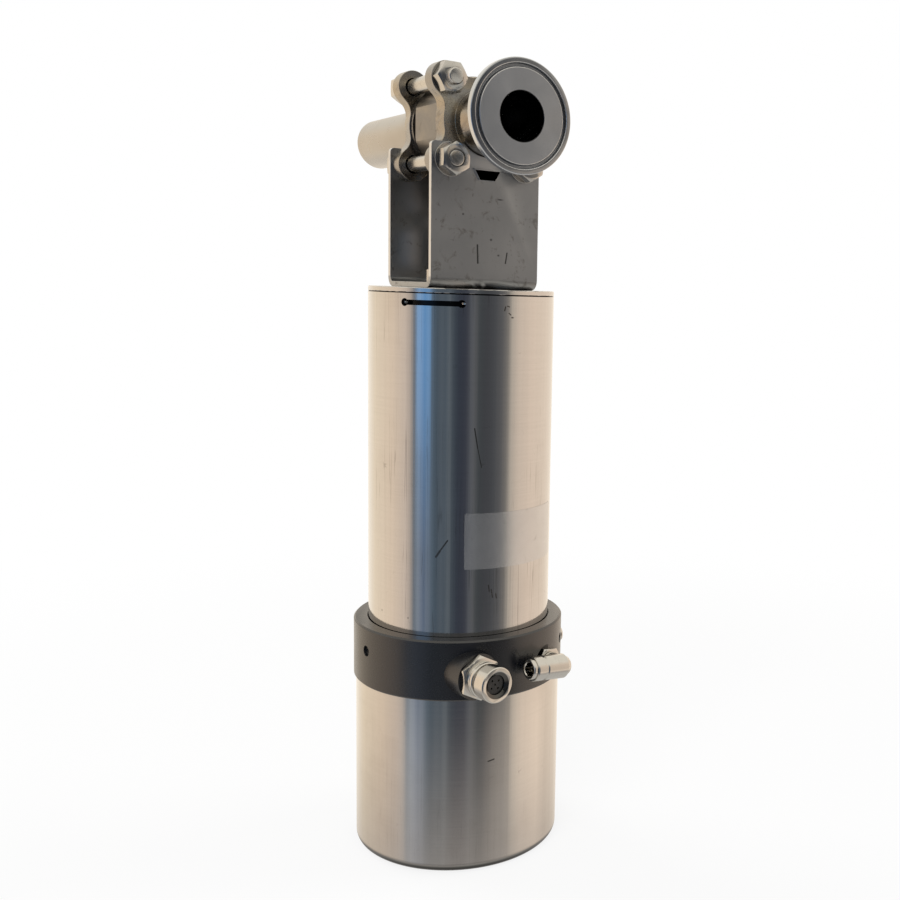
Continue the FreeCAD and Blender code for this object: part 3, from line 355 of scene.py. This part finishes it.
def makeSheet(name, values):
    # dull rolled sheet: drawn lines, dark clouds, pits and scratches, with a painted highlight on the legs'
    # cut edges
    finish = Finish(name, Metallic=1.0)
    cloud = finish.noise(38, detail=5.0, rough=0.65, warp=0.3)
    blots = finish.step(finish.noise(150, detail=4.0, rough=0.65, warp=0.5), low=0.56, high=0.70)
    lines = finish.noise(1.0, detail=3.0, rough=0.6, stretch=(2600, 2600, 50))
    pits = finish.step(finish.noise(480, detail=3.0, rough=0.6), low=0.68, high=0.76)
    base = finish.mix(cloud, values["dark"], values["light"])
    base = finish.mix(blots * 0.6, base, values["blot"])
    base = finish.mix(pits * 0.5, base, values["blot"])
    marks = finish.scuffs(120, width=0.006, thin=0.60) * 0.35
    for centre, reach in values["marks"]:
        marks = marks.atLeast(finish.spot(centre, reach) * 0.85)
    for start, end, width in values["scratches"]:
        marks = marks.atLeast(finish.scratch(start, end, width) * 0.85)
    base = finish.mix(marks, base, shade(0.03))
    # painted highlight on the cut edges of the legs, where the sheet's thickness shows
    middle = finish.band(abs(finish.part(0)), *values["cutAcross"], soft=0.00012)
    cutEdgeHighlight = middle * finish.step(finish.part(2), *values["cutAbove"])
    base = finish.mix(cutEdgeHighlight * 0.8, base, values["edge"])
    finish.feed("Base Color", base)
    finish.feed("Roughness", values["roughness"] + cloud * 0.14 + lines * 0.06 + blots * 0.06 - 0.12)
    finish.bump(lines * 0.3 + cloud * 0.3 - pits * 0.5 - marks * 0.5, values["bump"], distance=0.00008)
    finishes[name] = finish.material


def makeFerruleSteel(name, values):
    # turned steel of the ferrule and the pipe: fine rings about the flow axis
    finish = Finish(name, Metallic=1.0)
    reach = finish.reach(flowCentre, alongFlow)
    turning = finish.math("SINE", reach * values["ringScale"])
    cloud = finish.noise(55, detail=4.0, rough=0.6, warp=0.3)
    smear = finish.noise(22, detail=3.0, rough=0.5)
    base = finish.mix(cloud, values["dark"], values["light"])
    base = finish.mix(finish.step(smear, low=0.45, high=0.75) * 0.45, base, values["tarnish"])
    # painted highlights: thin bright rings at the groove's edges and the rim's edge
    for low, high in values["highlightRings"]:
        base = finish.mix(finish.band(reach, low, high, soft=0.0001) * 0.8, base, values["wearAndHighlight"])
    # two rings of the face drawn darker, between the highlight rings
    for low, high in values["darkRings"]:
        base = finish.mix(finish.band(reach, low, high, soft=0.0001) * 0.45, base, shade(0.05))
    base = finish.darkBore(base)
    finish.feed("Base Color", base)
    finish.feed("Roughness", values["roughness"] + cloud * 0.10 + smear * 0.08 - 0.09)
    finish.bump(turning * 0.3 + cloud * 0.3, values["bump"], distance=0.00003)
    finishes[name] = finish.material


def makeMoulded(name, values):
    # plastic and rubber: an even colour under a fine grain
    finish = Finish(name, Metallic=0.0)
    grain = finish.noise(1400, detail=2.0, rough=0.5)
    cloud = finish.noise(90, detail=4.0, rough=0.6)
    finish.feed("Base Color", finish.mix(cloud, values["dark"], values["light"]))
    finish.feed("Roughness", values["roughness"] + cloud * 0.12 - 0.06)
    finish.bump(grain, 0.12, distance=0.0001)
    finishes[name] = finish.material


turnedSteels = {  # marks: centre, reach; scratches: start, end, width; shadows: low, high, softness, share
    "coverSteel": {
        "lines": 1500, "streaks": 420, "cloud": 22, "dark": 0.55, "light": 0.68,
        "tint": (1.0, 0.975, 0.935), "stain": 0.35, "roughness": 0.12, "bump": 0.22, "hairs": 0.06,
        "marks": [],
        "scratches": [((0.0496, -0.0092, 0.0546), (0.0500, -0.0064, 0.0552), 0.0005)],
        "shadows": [(-0.005, 0.0022, 0.0030, 0.92)]},
    "lidSteel": {
        "lines": 1500, "streaks": 420, "cloud": 22, "dark": 0.56, "light": 0.68,
        "tint": (1.0, 0.985, 0.965), "stain": 0.35, "roughness": 0.16, "bump": 0.22, "hairs": 0.1,
        "marks": [], "scratches": [], "shadows": [(0.2, 0.2739, 0.0001, 1)]},
    "tubeSteel": {
        "lines": 1800, "streaks": 520, "cloud": 18, "dark": 0.56, "light": 0.70,
        "tint": (1.0, 0.985, 0.965), "stain": 0.30, "roughness": 0.10, "bump": 0.22, "hairs": 0.32,
        "skin": (unit["tubeRadius"] - 0.0002, unit["tubeRadius"] - 0.0001),
        "marks": [
            ((0.0065, -0.0440, 0.1229), (0.0006, 0.0006, 0.0006)),
            ((0.0229, -0.0381, 0.1222), (0.0005, 0.0005, 0.0006)),
            ((0.0444, 0.0031, 0.2640), (0.0010, 0.0012, 0.0006))],
        "scratches": [
            ((0.0336, -0.0292, 0.1528), (0.0347, -0.0278, 0.1556), 0.0007),
            ((0.0347, -0.0278, 0.1556), (0.0368, -0.0250, 0.1606), 0.0005),
            ((0.0421, -0.0144, 0.2130), (0.0426, -0.0130, 0.2040), 0.0004),
            ((0.0426, -0.0130, 0.2040), (0.0431, -0.0112, 0.1950), 0.0003),
            ((0.0439, -0.0072, 0.1388), (0.0440, -0.0068, 0.1358), 0.0004),
            ((0.0441, -0.0058, 0.1366), (0.0442, -0.0052, 0.1328), 0.0004),
            ((0.0444, -0.0036, 0.1344), (0.0444, -0.0032, 0.1322), 0.0004),
            ((0.0445, -0.0006, 0.2688), (0.0445, -0.0010, 0.2672), 0.0005),
            ((0.0445, 0.0004, 0.2692), (0.0445, 0.0014, 0.2689), 0.0004),
            ((0.0444, 0.0012, 0.2660), (0.0444, 0.0022, 0.2652), 0.0004)],
        "shadows": [(0.2738, 0.2743, 0.0001, 1)]},
}

castSteels = {
    "castSteel": {
        "grain": 900, "cool": shade(0.25, (1, 0.96, 0.92)), "warm": shade(0.31, (1, 0.92, 0.81)),
        "dirt": shade(0.12, (1, 0.88, 0.72)), "roughness": 0.34, "bump": 0.22},
    "capSteel": {
        "grain": 700, "cool": shade(0.34, (1, 0.96, 0.91)), "warm": shade(0.42, (1, 0.88, 0.70)),
        "dirt": shade(0.16, (1, 0.86, 0.70)), "roughness": 0.27, "bump": 0.08},
}

warmSteel = (1, 0.97, 0.92)
nickel = (1, 0.97, 0.91)
plainMetals = {
    "lidMetal": {"dark": shade(0.66), "light": shade(0.76), "roughness": 0.30, "lines": (60, 60, 2500)},
    "polishedSteel": {"dark": shade(0.62), "light": shade(0.70), "roughness": 0.12, "marks": 0.1},
    "fastenerSteel": {"dark": shade(0.44, warmSteel), "light": shade(0.60, warmSteel), "roughness": 0.17},
    "boltSteel": {"dark": shade(0.55, warmSteel), "light": shade(0.68, warmSteel), "roughness": 0.22,
                  "threadFrom": (0.0262, 0.0266), "threadPitch": 0.00125, "threadHeight": 6.0, "bump": 0.5},
    "labelFoil": {"dark": shade(0.54), "light": shade(0.66), "roughness": 0.22, "cloud": 60, "marks": 0.5,
                  "metallic": 0.9},
    "springSteel": {"dark": shade(0.22), "light": shade(0.34), "roughness": 0.35},
    "ballSteel": {"dark": shade(0.16), "light": shade(0.22), "roughness": 0.20, "marks": 0.1},
    "socketNickel": {"dark": shade(0.58, nickel), "light": shade(0.70, nickel), "roughness": 0.14,
                     "mouth": (socketCentre, portWay), "mouthEdge": (0.0061, 0.0066)},
    "nickelBrass": {"dark": shade(0.58, nickel), "light": shade(0.70, nickel), "roughness": 0.14},
    "contactGold": {"dark": shade(0.75, (1, 0.78, 0.38)), "light": shade(0.85, (1, 0.80, 0.42)),
                    "roughness": 0.20},
    "bearingBronze": {"dark": shade(0.50, (1, 0.70, 0.38)), "light": shade(0.64, (1, 0.74, 0.42)),
                      "roughness": 0.35},
}

makeAnodised("collarBlack", {
    "dark": shade(0.003, (0.8, 0.95, 1.5)), "light": shade(0.006, (0.8, 0.95, 1.5)), "wearAndHighlight": shade(0.02),
    "roughness": 0.27, "bump": 0.08})
makeSheet("bracketSheet", {
    "dark": shade(0.36, (0.93, 0.98, 1.03)), "light": shade(0.50, (0.95, 0.98, 1.02)),
    "blot": shade(0.16, (1, 0.95, 0.9)),
    # the edge colour is a painted highlight on the legs' cut edges
    "edge": shade(0.78), "cutAcross": (0.02145, 0.02355), "cutAbove": (0.281, 0.282),
    "roughness": 0.38, "bump": 0.25,
    "marks": [
        ((0.0238, 0.0066, 0.2925), (0.001, 0.0010, 0.0007)),
        ((0.0237, -0.0120, 0.3106), (0.001, 0.0009, 0.0008)),
        ((0.0238, 0.0026, 0.2996), (0.001, 0.0010, 0.0009)),
        ((0.0238, 0.0071, 0.3184), (0.001, 0.0026, 0.0006))],
    "scratches": [
        ((0.0238, -0.0045, 0.2968), (0.0238, -0.0042, 0.2886), 0.0006),
        ((0.0238, 0.0112, 0.2938), (0.0238, 0.0104, 0.2890), 0.0005)]})
makeFerruleSteel("ferruleSteel", {
    "dark": shade(0.54, (0.93, 0.98, 1.04)), "light": shade(0.74, (0.94, 0.98, 1.04)),
    # the lightest colour below is a painted highlight, laid on the thin rings that follow it
    "tarnish": shade(0.44, (1.0, 0.96, 0.94)), "wearAndHighlight": shade(0.80),
    "highlightRings": [(0.0206, 0.0209), (0.0229, 0.0231), (0.02505, 0.0251)],
    "darkRings": [(0.0212, 0.0226), (0.0232, 0.0250)],
    "ringScale": 14000, "roughness": 0.22, "bump": 0.08})
makeFerruleSteel("pipeSteel", {
    "dark": shade(0.44, (1.0, 0.96, 0.90)), "light": shade(0.55, (1.0, 0.96, 0.90)),
    "tarnish": shade(0.38, (1.0, 0.90, 0.78)), "wearAndHighlight": shade(0.8),
    "highlightRings": [], "darkRings": [],
    "ringScale": 9000, "roughness": 0.28, "bump": 0.05})

mouldings = {
    "blackPlastic": {"dark": shade(0.012), "light": shade(0.022), "roughness": 0.45},
    "greyPlastic": {"dark": shade(0.16), "light": shade(0.22), "roughness": 0.45},
    "boardGreen": {"dark": shade(0.12, (0.3, 1, 0.5)), "light": shade(0.18, (0.3, 1, 0.5)),
                   "roughness": 0.35},
    "whitePlastic": {"dark": shade(0.78, (1, 1, 0.97)), "light": shade(0.86, (1, 1, 0.97)),
                     "roughness": 0.35},
    "rubberBlack": {"dark": shade(0.015), "light": shade(0.028), "roughness": 0.60},
}
makers = [
    (makeTurnedSteel, turnedSteels), (makeCastSteel, castSteels), (makePlainMetal, plainMetals),
    (makeMoulded, mouldings)]
for maker, family in makers:
    for finishName, finishValues in family.items():
        maker(finishName, finishValues)
print("materials made")


# Pieces taken over from the solids: merged, edges eased, shaded smooth

nodeFinish = {
    "control_cover": "coverSteel", "control_collar": "collarBlack", "cover_o_ring": "rubberBlack",
    "set_screws": "springSteel", "sensor_socket_nut": "nickelBrass", "sensor_socket_shell": "socketNickel",
    "sensor_socket_insert": "blackPlastic", "sensor_socket_pins": "contactGold", "inlet_stem": "nickelBrass",
    "elbow_body": "nickelBrass", "release_collet": "nickelBrass", "exhaust_plug": "nickelBrass",
    "actuator_tube": "tubeSteel", "lock_wires": "fastenerSteel", "actuator_lid": "lidSteel",
    "lid_o_ring": "rubberBlack", "lid_bush": "bearingBronze", "lid_shaft_seal": "rubberBlack",
    "bulkhead": "lidMetal", "bulkhead_o_ring": "rubberBlack", "bulkhead_bush": "bearingBronze",
    "bulkhead_shaft_seal": "rubberBlack", "guide_rods": "polishedSteel", "piston": "lidMetal",
    "piston_seal": "rubberBlack", "piston_rod_seal": "rubberBlack", "piston_guide_ring": "whitePlastic",
    "cross_pin": "polishedSteel", "actuator_shaft": "fastenerSteel", "return_spring": "springSteel",
    "bracket": "bracketSheet", "bracket_screws": "fastenerSteel", "bracket_washers": "fastenerSteel",
    "valve_body": "castSteel", "body_gaskets": "whitePlastic", "ball_seats": "whitePlastic",
    "ball": "ballSteel", "end_cap_ferrule": "capSteel", "end_cap_tube": "capSteel",
    "clamp_ferrule": "ferruleSteel", "tube_stub": "pipeSteel",
    "through_bolts": "boltSteel", "bolt_nuts": "fastenerSteel", "bolt_washers": "fastenerSteel",
    "valve_stem": "fastenerSteel", "stem_thrust_washer": "whitePlastic", "stem_packing": "whitePlastic",
    "packing_follower": "fastenerSteel", "disc_springs": "springSteel", "stem_gland_nut": "fastenerSteel",
    "shaft_coupling": "fastenerSteel", "coupling_screws": "springSteel", "chassis_posts": "fastenerSteel",
    "chassis_plate": "lidMetal", "target_disc": "blackPlastic", "target_magnets": "polishedSteel",
    "end_sensors": "greyPlastic", "terminal_board": "boardGreen", "pilot_valve": "blackPlastic",
}

easedEdge = {  # widths of the eased edges, in metres; 0 keeps the solid's own
    "control_cover": 0, "control_collar": 0.0002, "sensor_socket_nut": 0.00015,
    "sensor_socket_shell": 0.00012, "sensor_socket_insert": 0, "inlet_stem": 0.00012,
    "elbow_body": 0.0002, "release_collet": 0,
    "exhaust_plug": 0.0001, "actuator_tube": 0, "actuator_lid": 0, "bracket": 0.00025,
    "bracket_screws": 0.00015, "bracket_washers": 0, "valve_body": 0.0003, "end_cap_ferrule": 0.0003,
    "end_cap_tube": 0.0003, "clamp_ferrule": 0.0002, "tube_stub": 0.0002,
    "through_bolts": 0.0001, "bolt_nuts": 0.00015, "bolt_washers": 0.0002,
    "shaft_coupling": 0.0002, "stem_gland_nut": 0.00015, "packing_follower": 0.00015, "valve_stem": 0,
    "ball": 0, "ball_seats": 0, "lock_wires": 0, "set_screws": 0, "disc_springs": 0, "coupling_screws": 0,
    "actuator_shaft": 0, "sensor_socket_pins": 0, "return_spring": 0,
}
bodies = frame["record"]["behaviour"]["bodies"]
bodyOf = {node: body for body, members in bodies.items() for node in members}


def outletWay():
    turn = math.radians(unit["portTurn"])
    tilt = math.radians(unit["outletTilt"])
    return (math.sin(turn) * math.cos(tilt), -math.cos(turn) * math.cos(tilt), math.sin(tilt))


roundAxes = [  # a point and a direction of each axis that pieces are turned about
    ((0, 0, 0), (0, 0, 1)),
    (flowCentre, alongFlow),
    (flowCentre, (0, 1, 0)),
    (socketCentre, portWay),
    (portPlace(0, unit["inletSide"], unit["inletHeight"]), portWay),
    (portPlace(unit["inletOut"], unit["inletSide"], unit["inletHeight"]), outletWay()),
]
for side in (-unit["boltSide"], unit["boltSide"]):
    for lift in (-unit["boltLift"], unit["boltLift"]):
        roundAxes.append(((0, side, unit["flowHeight"] + lift), alongFlow))


rounds = {
    "lean": 0.01,  # how far a cylinder's face may lean along the axis
    "leastRadius": 0.0004,
    "spread": 0.00002,  # how far the radii in one face may differ
    "facing": 0.9,  # how squarely a face looks to or from the axis
}


def smoothRounds(piece):
    # on every cylinder about a known axis the shading follows the true curve
    mesh = piece.data
    corners = [corner.vector.copy() for corner in mesh.corner_normals]
    for point, direction in roundAxes:
        point, direction = Vector(point), Vector(direction)
        away = []
        for vertex in mesh.vertices:
            arm = vertex.co - point
            away.append(arm - direction * arm.dot(direction))
        for face in mesh.polygons:
            if abs(face.normal.dot(direction)) > rounds["lean"]:
                continue
            radii = [away[index].length for index in face.vertices]
            if min(radii) < rounds["leastRadius"] or max(radii) - min(radii) > rounds["spread"]:
                continue
            facing = face.normal.dot(away[face.vertices[0]].normalized())
            if abs(facing) < rounds["facing"]:
                continue
            side = 1 if facing > 0 else -1
            for loop, index in zip(face.loop_indices, face.vertices):
                corners[loop] = away[index].normalized() * side
    mesh.normals_split_custom_set(corners)


def smoothShade(piece, degrees=32):
    bpy.context.view_layer.objects.active = piece
    piece.select_set(True)
    bpy.ops.object.shade_smooth_by_angle(angle=math.radians(degrees))
    piece.select_set(False)


takenOver = {"merge": 1e-6, "flatAngle": 0.3, "edgeAngle": 40, "edgeSegments": 2}


def takeOver(nodeName, width):
    piece = bpy.data.objects.new(nodeName + "_shown", nodes[nodeName].data.copy())
    bpy.context.scene.collection.objects.link(piece)
    bpy.context.view_layer.objects.active = piece
    piece.select_set(True)
    bpy.ops.object.mode_set(mode="EDIT")
    bpy.ops.mesh.select_all(action="SELECT")
    bpy.ops.mesh.remove_doubles(threshold=takenOver["merge"])
    if width:
        bpy.ops.mesh.dissolve_limited(angle_limit=math.radians(takenOver["flatAngle"]))
    bpy.ops.object.mode_set(mode="OBJECT")
    smoothShade(piece)
    if width:
        edge = piece.modifiers.new("easedEdge", "BEVEL")
        edge.width = width
        edge.segments = takenOver["edgeSegments"]
        edge.limit_method = "ANGLE"
        edge.angle_limit = math.radians(takenOver["edgeAngle"])
        edge.harden_normals = True
        bpy.ops.object.modifier_apply(modifier=edge.name)
    piece.select_set(False)
    smoothRounds(piece)
    piece.data.materials.clear()
    piece.data.materials.append(finishes[nodeFinish[nodeName]])
    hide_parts(nodeName)
    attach(piece, bodyOf[nodeName])
    return piece


for nodeName, finishName in nodeFinish.items():
    mesh = nodes[nodeName].data
    mesh.materials.clear()
    mesh.materials.append(finishes[finishName])
shown = {}
for nodeName, width in easedEdge.items():
    shown[nodeName] = takeOver(nodeName, width)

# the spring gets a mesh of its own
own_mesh(shown["return_spring"])
print("solids dressed", len(shown))


# Bare foil plate on the tube

plate = {
    "fromAngle": -24.3, "toAngle": 49.0,
    "bottom": 0.1468, "top": 0.1733,
    "thickness": 0.00012,
    "lift": 0.00003,  # glue under the foil
    "corner": 0.0008,
    "steps": 36,
    "edgeAngle": 40,
}


def makePlate():
    width = math.radians(plate["toAngle"] - plate["fromAngle"]) * unit["tubeRadius"]
    height = plate["top"] - plate["bottom"]
    bpy.ops.mesh.primitive_plane_add(size=1, location=(0, 0, 0))
    piece = bpy.context.object
    piece.name = "foilPlate"
    piece.data.name = "foilPlate"
    piece.scale = (width, height, 1)
    bpy.ops.object.transform_apply(scale=True)
    bpy.ops.object.mode_set(mode="EDIT")
    bpy.ops.mesh.select_all(action="SELECT")
    bpy.ops.mesh.bevel(offset=plate["corner"], segments=3, affect="VERTICES")
    for step in range(1, plate["steps"]):
        across = width * (step / plate["steps"] - 0.5)
        bpy.ops.mesh.select_all(action="SELECT")
        bpy.ops.mesh.bisect(plane_co=(across, 0, 0), plane_no=(1, 0, 0))
    bpy.ops.object.mode_set(mode="OBJECT")
    middle = math.radians((plate["fromAngle"] + plate["toAngle"]) / 2)
    level = (plate["bottom"] + plate["top"]) / 2
    reach = unit["tubeRadius"] + plate["lift"]
    for vertex in piece.data.vertices:
        angle = middle + vertex.co.x / unit["tubeRadius"]
        vertex.co = Vector((reach * math.cos(angle), reach * math.sin(angle), level + vertex.co.y))
    wall = piece.modifiers.new("wall", "SOLIDIFY")
    wall.thickness = plate["thickness"]
    wall.offset = 1
    bpy.ops.object.modifier_apply(modifier=wall.name)
    smoothShade(piece, plate["edgeAngle"])
    piece.data.materials.append(finishes["labelFoil"])
    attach(piece, "housing")


makePlate()
print("plate made")


# Floor, lights and the room that metal mirrors

studio = {
    "floor": 6.0,
    "shadowReach": 0.35,  # beyond it the floor is plain white
    "plainShare": 0.84,  # share of plain white in the floor near the unit
    "floorTones": (0.90, 0.94),
    "lamps": [  # place, size, watts
        ((1.6, -1.9, 2.0), 1.8, 38),
        ((-2.2, -1.0, 1.8), 1.6, 30),
        ((0.9, 2.3, 1.9), 1.6, 26),
    ],
    "lampAim": (0, 0, 0.18),
    "skyStrength": 0.45,
    "shell": 8.0,
    "panels": [  # direction in degrees, light that polished metal finds there
        (-180, (1.14, 1.03, 0.88)), (-158, (1.10, 0.93, 0.72)), (-120, (1.02, 0.83, 0.65)),
        (-98, (0.84, 0.70, 0.59)), (-90.5, (0.58, 0.50, 0.44)), (-85.5, (0.16, 0.20, 0.25)),
        (-81, (0.30, 0.35, 0.42)), (-76, (0.24, 0.29, 0.38)), (-72, (0.12, 0.17, 0.26)),
        (-68, (0.22, 0.27, 0.35)), (-61, (0.115, 0.16, 0.21)), (-57, (0.09, 0.125, 0.165)),
        (-50, (0.125, 0.155, 0.19)), (-46, (0.095, 0.125, 0.16)), (-41, (0.16, 0.19, 0.22)),
        (-37, (0.075, 0.095, 0.12)), (-30, (0.050, 0.060, 0.083)), (-20, (0.060, 0.066, 0.088)),
        (-15, (0.14, 0.15, 0.17)), (-10, (0.14, 0.145, 0.155)), (-6, (0.075, 0.085, 0.093)),
        (4, (0.074, 0.077, 0.087)), (14, (0.095, 0.10, 0.11)), (24, (0.15, 0.15, 0.155)),
        (32, (0.28, 0.26, 0.24)), (37, (0.62, 0.55, 0.47)), (48, (0.85, 0.71, 0.59)),
        (70, (1.00, 0.82, 0.67)), (105, (1.04, 0.87, 0.71)), (145, (1.10, 0.98, 0.83)),
    ],
    # what the panels show upwards (1) or downwards (-1), by the slope where it begins and is full
    "sideGlows": [  # directions from, to and softness in degrees, way, begins, full, light
        (-81, -66, 4, 1, -0.24, 0.0, (0.03, 0.20, 0.46)),
        (-88, -74, 14, -1, 0.28, 0.42, (0.20, 0.20, 0.20)),
        (20, 70, 26, -1, 0.28, 0.42, (0.26, 0.22, 0.18)),
    ],
    "levels": [  # way, begins, full, light
        (-1, 0.33, 0.64, (0.52, 0.48, 0.45)),
        (-1, 0.62, 0.95, (0.62, 0.60, 0.57)),
        (1, 0.22, 0.75, (0.95, 0.90, 0.80)),
    ],
}


def setFloor():
    bpy.ops.mesh.primitive_plane_add(size=studio["floor"], location=(0, 0, 0))
    floor = bpy.context.object
    floor.name = "studioFloor"
    finish = Finish("floorPale", Roughness=0.9, Specular_IOR_Level=0.1)
    cloud = finish.noise(1.5, detail=2.0, rough=0.5)
    dark, light = studio["floorTones"]
    finish.feed("Base Color", finish.mix(cloud, shade(dark), shade(light)))
    lit = finish.node("Emission", {}, {"Color": (1, 1, 1, 1), "Strength": 1.0})
    seen = finish.node("LightPath", {}, {}, "Is Camera Ray")
    seen = seen.atLeast(finish.node("LightPath", {}, {}, "Is Transmission Ray"))
    far = finish.step(finish.radius(), studio["shadowReach"], studio["shadowReach"] * 2)
    near = studio["plainShare"]
    body = finish.node("MixShader", {}, {0: seen * (far * (1 - near) + near)})
    mixer = body.socket.node
    finish.tree.links.new(finish.shader.outputs[0], mixer.inputs[1])
    finish.tree.links.new(lit.socket, mixer.inputs[2])
    finish.tree.links.new(mixer.outputs[0], finish.tree.nodes["Material Output"].inputs["Surface"])
    floor.data.materials.append(finish.material)
    floor.visible_glossy = False
    floor.select_set(False)


def setShell():
    # the room that metal mirrors: warm walls, one blue pane and a dark side, far off all round
    bpy.ops.mesh.primitive_uv_sphere_add(segments=64, ring_count=32, radius=studio["shell"])
    shell = bpy.context.object
    shell.name = "studioShell"
    finish = Finish(
        "studioShell", Roughness=1.0, Specular_IOR_Level=0.0, Base_Color=(0, 0, 0, 1),
        Emission_Strength=1.0)
    angle = finish.math("ARCTAN2", finish.part(1), finish.part(0)) * (180 / math.pi)
    rise = finish.part(2) / finish.radius()
    stops = [((direction + 180) / 360, (*colour, 1)) for direction, colour in studio["panels"]]
    stops.append((1.0, stops[0][1]))
    light = finish.node("ValToRGB", {"stops": stops}, {"Fac": (angle + 180) / 360})
    for low, high, soft, way, begins, full, colour in studio["sideGlows"]:
        share = finish.band(angle, low, high, soft) * finish.step(rise * way, begins, full)
        light = finish.mix(share, light, (*colour, 1), "ADD")
    for way, begins, full, colour in studio["levels"]:
        light = finish.mix(finish.step(rise * way, begins, full), light, (*colour, 1))
    finish.feed("Emission Color", light)
    shell.data.materials.append(finish.material)
    shell.visible_camera = False
    shell.visible_shadow = False
    shell.visible_diffuse = False
    shell.visible_transmission = False
    shell.select_set(False)


def setLamp(place, size, watts):
    bpy.ops.object.light_add(type="AREA", location=place)
    lamp = bpy.context.object
    lamp.data.size = size
    lamp.data.energy = watts
    aim = Vector(studio["lampAim"]) - Vector(place)
    lamp.rotation_euler = aim.to_track_quat("-Z", "Y").to_euler()
    lamp.visible_glossy = False
    lamp.select_set(False)


def setWorld():
    # plain white where it is seen or mirrored, dimmer as a light
    world = bpy.data.worlds.new("studioWorld")
    bpy.context.scene.world = world
    world.use_nodes = True
    tree = world.node_tree
    sky = tree.nodes["Background"]
    sky.inputs["Color"].default_value = (1, 1, 1, 1)
    path = tree.nodes.new("ShaderNodeLightPath")
    seen = path.outputs["Is Camera Ray"]
    for ray in ("Is Glossy Ray", "Is Transmission Ray"):
        either = tree.nodes.new("ShaderNodeMath")
        either.operation = "MAXIMUM"
        tree.links.new(seen, either.inputs[0])
        tree.links.new(path.outputs[ray], either.inputs[1])
        seen = either.outputs[0]
    strength = tree.nodes.new("ShaderNodeMapRange")
    strength.inputs["To Min"].default_value = studio["skyStrength"]
    strength.inputs["To Max"].default_value = 1.0
    tree.links.new(seen, strength.inputs["Value"])
    tree.links.new(strength.outputs[0], sky.inputs["Strength"])


setFloor()
setShell()
for place, size, watts in studio["lamps"]:
    setLamp(place, size, watts)
setWorld()
bpy.context.scene.view_settings.view_transform = "Standard"
print("studio set")
